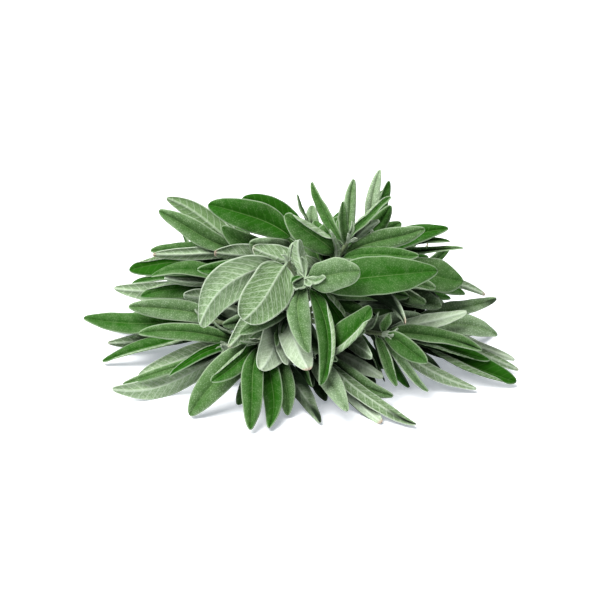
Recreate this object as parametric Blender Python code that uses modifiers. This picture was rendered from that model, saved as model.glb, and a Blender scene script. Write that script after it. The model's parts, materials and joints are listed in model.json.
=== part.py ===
"""A bushy sprig of garden sage, cut from the bush and laid down on a flat surface.

One woody stem lies at the back and rises towards the front. Leafy side shoots leave it in
every direction, each with grey-green leaves along it and a tuft of young leaves at its tip.
Every shoot is one node: its stem and its leaves are joined into one solid.
Lengths are in millimetres and become metres only where a mesh is made.
"""

import math
import random

import bmesh
import bpy
from mathutils import Matrix, Vector
from mathutils.bvhtree import BVHTree

MM = 0.001

# ---------------------------------------------------------------- driving dimensions
MAIN_STEM_RADIUS = 3.0
MAIN_TIP_RADIUS = 1.5
SHOOT_ROOT_RADIUS = 1.5
SHOOT_TIP_RADIUS = 1.3
SHOOT_SAG = 0.1  # share of its length by which a shoot hangs before it bends up
SAG_AT = 0.55
BLADE_THICKNESS = 0.8
PETIOLE_HALF_WIDTH = 0.8
PETIOLE_SHARE = 0.08
TIP_HALF_WIDTH = 0.5
SWELL_LEAN = 0.86  # under 1 the blade is widest nearer its foot
FULLNESS = 0.62  # the lower, the blunter a blade's ends
TWIST_FREE_AT = 0.4  # share of the blade where its twist is nought
EARLY_PULL, LATE_PULL = 0.33, 0.7  # where along a blade its bow and curl pull on the midrib
ROOT_OFFSET = 0.9
NODE_GAP = 0.35
MAIN_SEGMENTS = 14
SHOOT_SEGMENTS = 4
STEM_ROUNDNESS, MAIN_ROUNDNESS = 1, 2  # bevel steps of the round sections
STATIONS = (0.0, 0.12, 0.36, 0.72, 1.0)
PAIR_STATIONS = (0.0, 0.14, 0.6, 1.0)
FOLDED = (-1, 0, 1)
FLAT = (-1, 1)
SEED = 7

# The heap is laid out as it is looked at: from the front, 30 degrees above the surface.
# A place is (across, rise, near): to the right, up the tilted view, and towards the eye.
VIEW_TILT = math.radians(30.0)
ACROSS = Vector((1.0, 0.0, 0.0))
RISE = Vector((0.0, math.sin(VIEW_TILT), math.cos(VIEW_TILT)))
NEAR = Vector((0.0, -math.cos(VIEW_TILT), math.sin(VIEW_TILT)))

# The main stem, from its cut end at the back to the leader's tip at the front.
MAIN_STEM = [
    (-6, 86, 2.6),
    (-4, 62, 2.7),
    (-2, 42, 6),
    (0, 22, 15),
    (0, 4, 27),
    (1, -10, 42),
    (2, -19, 55),
]

# Shoot: name, share of the way along the main stem where it starts, place of its tip.
# Leaf: share of the way along its shoot, place of its tip, width, bow, face.
# Bow arches the blade by that share of its length; face is how far it is rolled about its
# midrib, in degrees: 0 shows the eye its upper side and 180 its pale underside. A leaf of
# marked shape has a draw of its own: fold, twist, sweep, curl and the fullness of its ends.
# The others get a random one.
SHOOTS = {
    # the crown, which stands up
    "crown_right": (0.91, (27, 70, 49), [
        (0.96, (6, 106, 36), 8, 0.04, -25),
        (1.00, (31, 108, 28), 8, 0.02, 15, (14, 0, -0.02, 0.0, FULLNESS)),
        (0.96, (24, 94, 60), 8, 0.03, 40),
        (0.98, (53, 97, 40), 10, 0.06, -50),
        (1.00, (46, 83, 52), 6, 0.10, 175),
        (0.80, (-10, 86, 56), 19, 0.06, 10),
        (0.80, (73, 78, 42), 13, 0.06, -10),
        (0.76, (69, 62, 47), 12, 0.10, -40),
        (0.55, (58, 58, 30), 15, 0.04, -10),
        (0.60, (-29, 67, 48), 22, 0.00, -160),
        (0.55, (10, 68, 46), 9, 0.06, 30),
        (0.50, (-2, 84, 34), 15, 0.06, 20),
    ]),
    "crown_back": (0.47, (41, 74, 24), [
        (1.00, (47, 114, 14), 8, 0.04, 0),
        (0.97, (52, 107, 30), 10, 0.04, 20),
        (0.97, (49, 102, 6), 8, 0.06, -30),
        (0.90, (53, 92, 36), 11, 0.04, 0),
        (0.84, (88, 79, 14), 14, 0.06, -20),
        (0.80, (89, 71, 22), 9, 0.06, -50),
        (0.76, (97, 67, 15), 7, -0.06, -40),
        (0.80, (22, 84, 0), 13, 0.06, 20),
        (0.80, (60, 83, -6), 13, 0.06, 20),
        (0.60, (8, 84, -16), 14, 0.08, 40),
        (0.60, (72, 74, -22), 15, 0.08, -30),
        (0.50, (77, 62, 2), 13, 0.05, -10),
    ]),
    "crown_left": (0.63, (-3, 74, 20), [
        (0.95, (-56, 93, 22), 21, 0.06, 10),
        (0.80, (-31, 70, 38), 18, 0.04, -10),
        (0.70, (-52, 64, 34), 15, 0.08, 170),
        (0.80, (-16, 86, -8), 16, 0.08, 20),
        (0.70, (24, 86, -4), 15, 0.08, -20),
        (0.60, (-62, 54, 22), 16, 0.06, 20),
        (0.60, (-48, 80, 6), 16, 0.06, 10),
        (0.40, (20, 44, 8), 16, 0.02, 0),
        (0.50, (-40, 70, -2), 15, 0.05, 10),
    ]),
    "crown_front": (0.95, (-8, 59, 57), [
        (1.00, (-34, 24, 86), 28, -0.10, 178, (6, -8, 0.04, -0.06, 0.40)),
        (0.95, (-60, 21, 64), 25, -0.14, 165, (8, 10, -0.26, -0.04, 0.52)),
        (0.85, (-43, 8, 64), 15, 0.00, 170),
    ]),
    "leader": (1.00, (2, 49, 60), [
        (1.00, (34, 53, 78), 20, 0.08, 5, (6, 5, 0.0, -0.05, 0.5)),
        (0.85, (80, 53, 62), 24, 0.04, -10, (8, -10, 0.02, 0.04, 0.6)),
        (0.90, (4, 5, 87), 14, 0.10, 0, (10, -12, 0.14, 0.03, 0.6)),
        (0.80, (11, -14, 72), 15, 0.10, -20, (18, 8, -0.16, 0.02, 0.6)),
        (0.60, (27, 17, 44), 16, 0.08, -15, (20, -10, -0.10, 0.02, 0.6)),
        (0.50, (61, 22, 62), 14, 0.22, -148, (24, 10, 0.16, 0.06, 0.5)),
        (1.00, (16, 50, 72), 6, 0.15, -60),
        (1.00, (-6, 46, 74), 5, 0.15, 60),
        (0.45, (64, 38, 40), 16, 0.00, -10),
        (0.40, (46, 22, 36), 15, 0.06, -20),
        (0.95, (-2, 71, 66), 13, 0.04, 195, (35, 10, 0.05, 0.05, 0.5)),
    ]),
    "middle": (0.92, (-10, 31, 56), [
        (0.95, (4, -5, 77), 18, -0.06, 175, (8, -12, -0.05, -0.05, 0.5)),
        (0.85, (-8, -2, 68), 18, 0.04, 165, (10, 8, 0.04, 0.04, 0.55)),
        (0.80, (-24, -5, 76), 20, 0.06, 165, (10, 6, 0.06, -0.05, 0.55)),
        (0.60, (-38, 2, 44), 14, 0.05, 10),
        (0.70, (-36, 16, 60), 13, 0.05, 30),
    ]),
    # the fan of leaves along the front edge
    "front": (0.85, (-25, 12, 58), [
        (1.00, (-30, -40, 76), 14, 0.14, 0),
        (0.85, (-19, -39, 74), 13, 0.00, 20),
        (0.90, (-66, -32, 60), 20, 0.06, 10, (12, 6, 0.05, 0.0, 0.6)),
        (0.95, (-53, -12, 68), 14, 0.06, 10),
        (0.90, (11, -36, 68), 14, 0.04, 170),
        (0.75, (-8, -32, 60), 14, 0.05, 0),
        (0.70, (-38, -26, 46), 14, 0.05, 10),
    ]),
    "front_right": (0.78, (5, 6, 48), [
        (0.85, (47, -36, 66), 15, 0.06, 170),
        (1.00, (67, -37, 68), 11, 0.06, 140),
        (0.80, (27, -29, 58), 13, 0.06, 10),
        (0.95, (48, -28, 58), 9, 0.04, 160),
        (0.75, (48, -10, 48), 13, 0.04, 160),
        (0.65, (38, -19, 38), 14, 0.02, 10),
        (0.97, (41, 31, 66), 22, 0.06, -30, (10, 8, 0.28, 0.04, 0.45)),
        (0.60, (44, -14, 40), 16, 0.04, 0),
        (0.60, (14, -24, 46), 14, 0.05, 0),
        (0.90, (54, -21, 52), 12, 0.04, 0),
    ]),
    # the right-hand side
    "right_low": (0.66, (70, 20, 22), [
        (0.90, (128, -13, 30), 20, 0.05, -25, (14, 8, 0.09, -0.03, 0.6)),
        (0.90, (117, 15, 24), 16, 0.16, -30),
        (0.95, (128, 0, 14), 8, 0.04, 165),
        (1.00, (130, -6, 18), 8, 0.04, 170),
        (0.85, (118, 37, -8), 13, -0.05, -40),
        (0.80, (116, 16, -24), 15, 0.08, -50),
        (0.65, (96, 10, -10), 15, 0.08, -30),
        (0.85, (112, 6, 12), 14, 0.05, -20),
        (0.75, (108, -4, 14), 14, 0.02, -20),
    ]),
    "right_front": (0.82, (48, 16, 46), [
        (1.00, (74, -1, 56), 13, 0.06, 15),
        (0.95, (75, -18, 46), 8, 0.06, 40),
        (0.90, (56, -15, 48), 8, 0.06, -20),
        (1.00, (52, 28, 52), 6, 0.04, 0),
        (1.00, (98, 29, 40), 11, 0.08, 160),
        (0.95, (107, 6, 41), 13, 0.06, -30),
        (0.90, (112, 0, 32), 13, 0.00, -30),
        (0.90, (104, -17, 36), 9, 0.04, 165),
        (0.75, (86, -12, 34), 14, 0.06, 10),
        (0.65, (72, 26, 34), 15, 0.06, -10),
        (0.35, (36, -6, 30), 16, 0.04, 0),
        (0.55, (52, -4, 36), 15, 0.04, 0),
        (0.85, (64, -16, 32), 9, 0.05, 10),
    ]),
    "right_mid": (0.55, (60, 56, 14), [
        (0.95, (97, 47, 12), 22, 0.08, -15),
        (0.90, (111, 39, -4), 8, 0.05, 180),
        (0.80, (74, 34, 30), 12, 0.08, 10),
        (0.85, (80, 43, 26), 11, 0.08, 0),
        (0.90, (95, 50, -12), 14, 0.06, -30),
        (0.65, (100, 40, -34), 16, 0.08, -40),
        (0.70, (84, 32, 14), 16, 0.06, -20),
        (0.55, (76, 26, 4), 17, 0.00, -10),
    ]),
    # the left-hand side
    "upper_left": (0.43, (-36, 66, 6), [
        (0.95, (-82, 98, -14), 14, 0.05, 175),
        (1.00, (-86, 90, 4), 15, 0.05, 10),
        (0.90, (-58, 85, -10), 14, 0.06, 15),
        (0.90, (-104, 54, 4), 20, 0.04, 20, (10, -8, 0.02, 0.02, FULLNESS)),
        (0.95, (-89, 63, 20), 9, 0.06, 165, (20, 5, 0.0, 0.0, FULLNESS)),
        (0.80, (-92, 66, -20), 14, 0.06, 40),
        (0.75, (-44, 90, -22), 15, 0.06, 20),
        (0.65, (-74, 62, -34), 16, 0.08, 50),
    ]),
    "left_mid": (0.53, (-46, 47, 14), [
        (0.95, (-114, 43, -14), 14, 0.06, 175, (10, 5, 0.08, 0.0, FULLNESS)),
        (0.85, (-97, 38, 8), 15, 0.06, 30),
        (0.90, (-82, 49, 26), 8, 0.05, 165),
        (0.80, (-95, 36, 4), 12, 0.05, 160),
        (0.70, (-70, 39, 42), 13, 0.05, 175),
        (0.75, (-104, 46, -36), 15, 0.08, 50),
        (0.80, (-90, 50, 0), 15, 0.06, 30),
    ]),
    "left_low": (0.66, (-54, 23, 16), [
        (1.00, (-132, 25, -6), 15, 0.05, 25, (12, 0, -0.06, 0.02, FULLNESS)),
        (0.85, (-104, 32, 16), 14, 0.06, 10),
        (0.95, (-117, 10, 2), 11, 0.05, 160),
        (0.90, (-120, -1, 10), 13, 0.05, 35, (14, 6, -0.05, 0.0, FULLNESS)),
        (0.80, (-118, 20, -28), 15, 0.08, 50),
        (0.75, (-104, 6, 6), 14, 0.05, 10),
    ]),
    "left_front": (0.74, (-42, 9, 40), [
        (1.00, (-112, -17, 38), 16, 0.05, 160, (8, 6, 0.17, 0.0, 0.6)),
        (0.85, (-97, 16, 32), 12, 0.06, 15),
        (0.95, (-98, -10, 26), 14, 0.06, 165),
        (0.90, (-89, -9, 30), 8, 0.05, 150),
        (0.85, (-78, -9, 44), 9, 0.08, 40),
        (0.80, (-51, -6, 26), 13, 0.05, 175),
        (1.00, (-106, -14, 42), 7, 0.08, 20),
        (0.75, (-64, -10, 30), 13, 0.05, 10),
    ]),
    # the back, whose leaves stand in pairs
    "back_left": (0.27, (-62, 50, -38), []),
    "back_right": (0.27, (66, 47, -33), []),
    "back_mid": (0.37, (4, 70, -25), [
        (1.00, (-36, 98, -14), 20, 0.06, 20, (8, 5, 0.08, 0.0, 0.6)),
        (0.85, (-8, 86, -16), 15, 0.06, 10),
    ]),
}

# Every shoot also carries leaves that no row lists: opposite pairs, each a quarter turn on
# from the last, laid only where there is room. Name: pairs, length of the lowest leaf.
PAIRS = {
    "back_left": (5, 54),
    "back_right": (5, 54),
    "back_mid": (5, 52),
    "leader": (0, 0),
    "crown_front": (0, 0),
}
OTHER_PAIRS = (2, 46)
OTHER_PAIRS_END = 0.7  # shoots with listed leaves keep their upper part free of pairs
PAIRS_START = 0.35
PAIR_TAPER = 0.6  # the topmost pair's length against the lowest one's
PAIR_TURN, PAIR_TURN_START = 90, 20  # degrees about the stem
PAIR_SPREAD_LOW, PAIR_SPREAD_HIGH = 72, 28  # degrees from the stem, low down and at its tip
PAIR_DROOP = 0.12
PAIR_LEAN = 0.3
PAIR_WIDTH_SHARE = 0.28
PAIR_BOW = 0.08

# What a blade may be moved by, to lie clear of the rest: millimetres, bow and degrees.
NEAR_SHIFTS = (0, 3, -3, 6, -6, 9, -9, 13, -13, 17, -17, 22, -22)
BOW_SHIFTS = (0, 0.08, -0.08, 0.16, -0.16)
TURN_SHIFTS = (0, 20, -20, 40, -40)
PAIR_TURNS = (0, 20, -20, 40, -40)
PAIR_SPREADS = (0, 12, -12, 24, -24, 36)

# The random draw of a blade that has none of its own.
FOLD_LEAST, FOLD_MOST, FOLD_EXTRA = 4, 18, 22  # degrees; the extra one is rare
TWIST_MOST = 25  # degrees
SWEEP_MOST, CURL_MOST = 0.08, 0.07  # shares of the length

LEAST_SIDEWAYS = 0.3  # how far across the view a leaf must lie for its face to be set by it


# ---------------------------------------------------------------- places and curves
def place(across, rise, near):
    """A point of the laid-out heap in the upright frame: x right, y away, z up."""
    return ACROSS * across + RISE * rise + NEAR * near


def mix(a, b, share):
    return a + (b - a) * share


def bezier(points, share):
    """A point on the curve that these control points pull on."""
    while len(points) > 1:
        points = [mix(a, b, share) for a, b in zip(points, points[1:])]
    return points[0]


def along_main(share):
    """A point on the smooth line through MAIN_STEM, by share of its length."""
    knots = [Vector(p) for p in MAIN_STEM]
    lengths = [(b - a).length for a, b in zip(knots, knots[1:])]
    way = share * sum(lengths)
    k = 0
    while k < len(lengths) - 1 and way > lengths[k]:
        way -= lengths[k]
        k += 1
    t = way / lengths[k]
    p0, p1 = knots[max(k - 1, 0)], knots[k]
    p2, p3 = knots[k + 1], knots[min(k + 2, len(knots) - 1)]
    return 0.5 * (
        2 * p1
        + (p2 - p0) * t
        + (2 * p0 - 5 * p1 + 4 * p2 - p3) * t**2
        + (3 * p1 - p0 - 3 * p2 + p3) * t**3
    )


def shoot_line(name):
    """Control points of a shoot's stem: it leaves the main stem low and then bends up."""
    root_share, tip, _ = SHOOTS[name]
    root = along_main(root_share)
    end = place(*tip)
    if root_share == 1.0:
        root = root + (end - root).normalized() * NODE_GAP * 2
    sag = SHOOT_SAG * (end - root).length
    return [root, mix(root, end, SAG_AT) - Vector((0, 0, sag)), end]


def heading_at(line, share, step=0.05):
    return (bezier(line, min(share + step, 1)) - bezier(line, max(share - step, 0))).normalized()


# ---------------------------------------------------------------- one leaf
class Leaf:
    """A blade between two points, whose upper side faces `up`.

    Its midrib bows by that share of its length. Its draw is how far its halves fold up, how
    far it twists and sweeps aside on its way, how far its outer half curls up, and how full
    its ends are.
    """

    def __init__(self, base, tip, up, width, bow, draw, stations=STATIONS, columns=FOLDED):
        self.base = base
        self.tip = tip
        self.width = width
        self.bow = bow
        self.fold, self.twist, self.sweep, self.curl, self.fullness = draw
        self.stations = stations
        self.columns = columns
        chord = tip - base
        self.length = chord.length
        self.way = chord / self.length
        self.up = (up - self.way * up.dot(self.way)).normalized()
        self.side = self.way.cross(self.up)

    def midrib(self, s):
        lift = (self.up * self.bow + self.side * self.sweep) * self.length
        curl = self.up * (self.curl * self.length)
        early = mix(self.base, self.tip, EARLY_PULL) + lift - curl
        late = mix(self.base, self.tip, LATE_PULL) + lift + curl
        return bezier([self.base, early, late, self.tip], s)

    def half_width(self, s):
        """A narrow petiole, then a long blade that is widest a little under half way."""
        if s <= PETIOLE_SHARE:
            return PETIOLE_HALF_WIDTH
        t = (s - PETIOLE_SHARE) / (1 - PETIOLE_SHARE)
        swell = math.sin(math.pi * t**SWELL_LEAN) ** self.fullness if t < 1 else 0.0
        spare = self.width / 2 - PETIOLE_HALF_WIDTH
        return mix(PETIOLE_HALF_WIDTH, TIP_HALF_WIDTH, t) + spare * swell

    def point(self, s, u, step=0.01):
        """A point of the blade's middle surface: s along it, u from -1 to 1 across it."""
        heading = (self.midrib(min(s + step, 1)) - self.midrib(max(s - step, 0))).normalized()
        turn = Matrix.Rotation(self.twist * (s - TWIST_FREE_AT), 3, heading)
        side = turn @ self.side
        up = side.cross(heading)
        reach = self.half_width(s)
        return (
            self.midrib(s)
            + side * (u * reach * math.cos(self.fold))
            + up * (abs(u) * reach * math.sin(self.fold))
        )

    def rows(self):
        return [[self.point(s, u) for u in self.columns] for s in self.stations]


def sheets(leaf, thickness):
    """Both faces and the rim of a blade as triangles, for testing what it would run through."""
    rows, wide = leaf.rows(), len(leaf.columns)
    points, faces = [], []
    for sign in (0.5, -0.5):
        for i, row in enumerate(rows):
            ahead, behind = rows[min(i + 1, len(rows) - 1)], rows[max(i - 1, 0)]
            onward = ahead[0] + ahead[-1] - behind[0] - behind[-1]
            normal = (row[-1] - row[0]).cross(onward).normalized()
            points += [p + normal * (thickness * sign) for p in row]
    under = wide * len(rows)
    for i in range(len(rows) - 1):
        start = wide * i
        for a in range(start, start + wide - 1):
            for layer in (a, a + under):
                faces.append((layer, layer + 1, layer + 1 + wide))
                faces.append((layer, layer + 1 + wide, layer + wide))
        for a in (start, start + wide - 1):
            faces += [(a, a + wide, a + wide + under), (a, a + wide + under, a + under)]
    return points, faces


# ---------------------------------------------------------------- laying the leaves
class Heap:
    """All that is laid so far, shoot by shoot, as triangles that a new leaf is tested against."""

    def __init__(self):
        self.triangles = {}

    def add(self, shoot, points, faces):
        kept = self.triangles.setdefault(shoot, ([], []))
        start = len(kept[0])
        kept[0].extend(points)
        kept[1].extend([tuple(start + v for v in face) for face in faces])

    def tree(self, shoots):
        points, faces = [], []
        for shoot in shoots:
            start = len(points)
            points += self.triangles[shoot][0]
            faces += [tuple(start + v for v in face) for face in self.triangles[shoot][1]]
        return BVHTree.FromPolygons(points, faces) if faces else None


def listed_leaf(line, row, draw, near_shift, bow_shift, turn_shift):
    """The leaf that a row of SHOOTS describes, moved by these shifts."""
    at, tip, width, bow, face = row[:5]
    base, axis = bezier(line, at), heading_at(line, at)
    end = place(tip[0], tip[1], tip[2] + near_shift)
    way = (end - base).normalized()
    base = base + (way - axis * way.dot(axis)) * ROOT_OFFSET
    eye = NEAR - way * NEAR.dot(way)
    if eye.length < LEAST_SIDEWAYS:  # the leaf points almost at the eye
        eye = RISE - way * RISE.dot(way)
    up = Matrix.Rotation(math.radians(face + turn_shift), 3, way) @ eye.normalized()
    return Leaf(base, end, up, width, bow + bow_shift, draw)


def paired_leaf(line, at, quarter, length, draw, turn_shift, spread_shift):
    """A leaf of the pair rule: it leaves the stem sideways and its upper side faces the tip."""
    base, axis = bezier(line, at), heading_at(line, at)
    across = axis.cross(Vector((0, 0, 1))).normalized()
    out = Matrix.Rotation(math.radians(quarter + turn_shift), 3, axis) @ across
    spread = math.radians(mix(PAIR_SPREAD_LOW, PAIR_SPREAD_HIGH, at) + spread_shift)
    way = axis * math.cos(spread) + out * math.sin(spread) - Vector((0, 0, PAIR_DROOP))
    base = base + out * ROOT_OFFSET
    tip = base + way.normalized() * length
    width = length * PAIR_WIDTH_SHARE
    up = axis - out * PAIR_LEAN
    return Leaf(base, tip, up, width, PAIR_BOW, draw, PAIR_STATIONS, FLAT)


def by_size(*choices):
    """Every combination of these shifts, the smallest first."""
    combos = [()]
    for options in choices:
        biggest = max(abs(o) for o in options)
        combos = [c + ((o, abs(o) / biggest),) for c in combos for o in options]
    combos.sort(key=lambda c: sum(size for _, size in c))
    return [tuple(value for value, _ in c) for c in combos]


def clear_leaf(candidates, others, own):
    """The first candidate that runs through nothing: no other shoot, the ground or, if that
    can be had, its own shoot's other blades past its foot."""
    fallback = None
    for leaf in candidates:
        points, faces = sheets(leaf, BLADE_THICKNESS + 2 * NODE_GAP)
        if min(p.z for p in points) < NODE_GAP:
            continue
        tree = BVHTree.FromPolygons(points, faces)
        if others and tree.overlap(others):
            continue
        if own is None or not tree.overlap(own):
            return leaf
        if fallback is None:
            fallback = leaf
    return fallback


def draw_for(name, k, own=()):
    """How leaf k of a shoot is drawn out of the plain form, at random unless it has its own:
    fold and twist in degrees, sweep and curl as shares of its length, and its fullness."""
    rng = random.Random(f"{name} {k} {SEED}")
    by_chance = (
        rng.uniform(FOLD_LEAST, FOLD_MOST) + FOLD_EXTRA * rng.random() ** 3,
        rng.uniform(-TWIST_MOST, TWIST_MOST),
        rng.uniform(-SWEEP_MOST, SWEEP_MOST),
        rng.uniform(-CURL_MOST, CURL_MOST),
        FULLNESS,
    )
    fold, twist, *rest = own or by_chance
    return math.radians(fold), math.radians(twist), *rest


def blade_beyond_foot(leaf):
    """The blade's triangles without its petiole, which may share its foot with a neighbour."""
    points, faces = sheets(leaf, BLADE_THICKNESS)
    wide = len(leaf.columns)
    foot = {i for i, _ in enumerate(points) if i % (wide * len(leaf.stations)) < wide}
    return points, [f for f in faces if not foot & set(f)]


def lay_heap():
    """Every leaf of every shoot, each bent clear of the shoots and leaves laid before it."""
    heap = Heap()
    main_points = [along_main(k / MAIN_SEGMENTS) for k in range(MAIN_SEGMENTS + 1)]
    heap.add("main_stem", *tube_triangles(main_points, MAIN_STEM_RADIUS))
    for name in SHOOTS:
        line = shoot_line(name)
        clear_of_main = [bezier(line, k / 10) for k in range(2, 11)]
        heap.add(name, *tube_triangles(clear_of_main, SHOOT_ROOT_RADIUS))
    leaves = {name: [] for name in SHOOTS}
    blades = {name: Heap() for name in SHOOTS}

    def lay(name, candidates):
        others = heap.tree([n for n in heap.triangles if n != name])
        own = blades[name].tree([name]) if leaves[name] else None
        leaf = clear_leaf(candidates, others, own)
        if leaf:
            leaves[name].append(leaf)
            heap.add(name, *sheets(leaf, BLADE_THICKNESS))
            blades[name].add(name, *blade_beyond_foot(leaf))
        return leaf

    for name, (_, _, rows) in SHOOTS.items():
        line = shoot_line(name)
        for k, row in enumerate(rows):
            draw = draw_for(name, k, *row[5:])
            shifts = by_size(NEAR_SHIFTS, BOW_SHIFTS, TURN_SHIFTS)
            if not lay(name, (listed_leaf(line, row, draw, *shift) for shift in shifts)):
                print("no room for", name, k)
    for name in SHOOTS:
        line = shoot_line(name)
        count, longest = PAIRS.get(name, OTHER_PAIRS)
        highest = 1.0 if name in PAIRS else OTHER_PAIRS_END
        for k in range(count):
            up_the_stem = k / max(count - 1, 1)
            at = mix(PAIRS_START, highest, up_the_stem)
            length = longest * mix(1.0, PAIR_TAPER, up_the_stem)
            for side in (0, 180):
                draw = draw_for(name, len(leaves[name]))
                quarter = PAIR_TURN * k + side + PAIR_TURN_START
                shifts = by_size(PAIR_TURNS, PAIR_SPREADS)
                lay(name, (paired_leaf(line, at, quarter, length, draw, *shift) for shift in shifts))
    return leaves


def tube_triangles(points, radius, sides=6):
    """A plain tube round these points, for the clearance test only."""
    corners, faces = [], []
    for i, p in enumerate(points):
        heading = (points[min(i + 1, len(points) - 1)] - points[max(i - 1, 0)]).normalized()
        across = heading.orthogonal().normalized() * radius
        for k in range(sides):
            corners.append(p + Matrix.Rotation(2 * math.pi * k / sides, 3, heading) @ across)
    for i in range(len(points) - 1):
        for k in range(sides):
            a, b = i * sides + k, i * sides + (k + 1) % sides
            faces += [(a, b, b + sides), (a, b + sides, a + sides)]
    return corners, faces


# ---------------------------------------------------------------- solids
def new_object(name, mesh, collection, material=None):
    obj = bpy.data.objects.new(name, mesh)
    collection.objects.link(obj)
    if material:
        mesh.materials.append(material)
    return obj


def new_material(name, colour, roughness):
    material = bpy.data.materials.new(name)
    material.use_nodes = True
    shader = material.node_tree.nodes["Principled BSDF"]
    shader.inputs["Base Color"].default_value = (*colour, 1)
    shader.inputs["Roughness"].default_value = roughness
    shader.inputs["Metallic"].default_value = 0.0
    return material


def stem_object(name, points, radii, collection, material, resolution):
    """A tapering stem: a bevelled curve with filled caps, made a mesh with its caps welded."""
    curve = bpy.data.curves.new(name, "CURVE")
    curve.dimensions = "3D"
    curve.bevel_depth = MM
    curve.bevel_resolution = resolution
    curve.use_fill_caps = True
    spline = curve.splines.new("POLY")
    spline.points.add(len(points) - 1)
    for knot, p, r in zip(spline.points, points, radii):
        knot.co = (*(p * MM), 1)
        knot.radius = r
    guide = bpy.data.objects.new(name + "_guide", curve)
    collection.objects.link(guide)
    bpy.context.view_layer.update()
    graph = bpy.context.evaluated_depsgraph_get()
    mesh = bpy.data.meshes.new_from_object(guide.evaluated_get(graph))
    bpy.data.objects.remove(guide)
    bm = bmesh.new()
    bm.from_mesh(mesh)
    bmesh.ops.remove_doubles(bm, verts=bm.verts, dist=0.01 * MM)
    bm.to_mesh(mesh)
    bm.free()
    return new_object(name, mesh, collection, material)


def blade_object(name, leaf, collection, material):
    """One leaf: a grid laid onto its surface and given its thickness by Solidify."""
    mesh = bpy.data.meshes.new(name)
    bm = bmesh.new()
    top = len(leaf.stations) - 1
    bmesh.ops.create_grid(bm, x_segments=len(leaf.columns) - 1, y_segments=top, size=1)
    for vert in bm.verts:
        station = leaf.stations[round((vert.co.y + 1) / 2 * top)]
        vert.co = leaf.point(station, round(vert.co.x)) * MM
    bmesh.ops.triangulate(bm, faces=bm.faces)
    bm.to_mesh(mesh)
    bm.free()
    obj = new_object(name, mesh, collection, material)
    thick = obj.modifiers.new("thickness", "SOLIDIFY")
    thick.thickness = BLADE_THICKNESS * MM
    thick.offset = 0
    return obj


def apply_modifiers(obj):
    graph = bpy.context.evaluated_depsgraph_get()
    obj.data = bpy.data.meshes.new_from_object(obj.evaluated_get(graph))
    obj.modifiers.clear()


def boolean(obj, operation, other=None, collection=None):
    cut = obj.modifiers.new(operation.lower(), "BOOLEAN")
    cut.operation = operation
    cut.solver = "EXACT"
    if collection:
        cut.operand_type = "COLLECTION"
        cut.collection = collection
    else:
        cut.object = other
    apply_modifiers(obj)


def keep_largest_island(obj):
    """Drops scraps, and the walls of any pocket that crossing blades have sealed off."""
    bm = bmesh.new()
    bm.from_mesh(obj.data)
    unseen, islands = set(bm.verts), []
    while unseen:
        island, frontier = set(), [unseen.pop()]
        while frontier:
            vert = frontier.pop()
            island.add(vert)
            fresh = {edge.other_vert(vert) for edge in vert.link_edges} & unseen
            unseen -= fresh
            frontier += fresh
        islands.append(island)
    islands.sort(key=len)
    for island in islands[:-1]:
        bmesh.ops.delete(bm, geom=list(island), context="VERTS")
    bm.to_mesh(obj.data)
    bm.free()


def build():
    for obj in list(bpy.data.objects):
        bpy.data.objects.remove(obj)
    scene = bpy.context.scene.collection
    sprig = bpy.data.collections.new("sage_sprig")
    cutters = bpy.data.collections.new("cutters")
    scene.children.link(sprig)
    scene.children.link(cutters)

    leaf_green = new_material("sage_leaf", (0.20, 0.30, 0.13), 0.75)
    bark = new_material("sage_stem", (0.30, 0.27, 0.17), 0.8)

    leaves = lay_heap()
    shares = [k / MAIN_SEGMENTS for k in range(MAIN_SEGMENTS + 1)]
    main_points = [along_main(share) for share in shares]
    main_radii = [mix(MAIN_STEM_RADIUS, MAIN_TIP_RADIUS, share) for share in shares]
    main = stem_object("main_stem", main_points, main_radii, sprig, bark, MAIN_ROUNDNESS)
    wider_radii = [r + NODE_GAP for r in main_radii]
    clearance = stem_object(
        "main_stem_clearance", main_points, wider_radii, cutters, bark, MAIN_ROUNDNESS
    )
    clearance.hide_render = True
    clearance.display_type = "WIRE"

    bpy.ops.mesh.primitive_cube_add(size=1, location=(0, 0, -0.05), scale=(0.5, 0.5, 0.1))
    ground = bpy.context.object
    ground.name = "ground"
    ground.hide_render = True
    ground.display_type = "WIRE"
    for home in list(ground.users_collection):
        home.objects.unlink(ground)
    cutters.objects.link(ground)

    for name in SHOOTS:
        line = shoot_line(name)
        shares = [k / SHOOT_SEGMENTS for k in range(SHOOT_SEGMENTS + 1)]
        points = [bezier(line, share) for share in shares]
        radii = [mix(SHOOT_ROOT_RADIUS, SHOOT_TIP_RADIUS, share) for share in shares]
        shoot = stem_object("shoot_" + name, points, radii, sprig, leaf_green, STEM_ROUNDNESS)
        blades = bpy.data.collections.new(name + "_blades")
        scene.children.link(blades)
        for k, leaf in enumerate(leaves[name]):
            blade_object(f"{name}_leaf_{k}", leaf, blades, leaf_green)
        boolean(shoot, "UNION", collection=blades)
        for obj in list(blades.objects):
            bpy.data.objects.remove(obj)
        bpy.data.collections.remove(blades)
        if name != "leader":
            boolean(shoot, "DIFFERENCE", clearance)
        keep_largest_island(shoot)
    boolean(main, "DIFFERENCE", ground)
    centre_on_origin(sprig)


def centre_on_origin(collection):
    """Moves every piece alike, so that the heap stands centred on the origin."""
    bpy.context.view_layer.update()
    corners = [v.co for obj in collection.objects for v in obj.data.vertices]
    low = Vector(min(c[k] for c in corners) for k in range(3))
    high = Vector(max(c[k] for c in corners) for k in range(3))
    shift = Vector((-(low.x + high.x) / 2, -(low.y + high.y) / 2, -low.z))
    for obj in collection.objects:
        obj.data.transform(Matrix.Translation(shift))


build()
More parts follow.
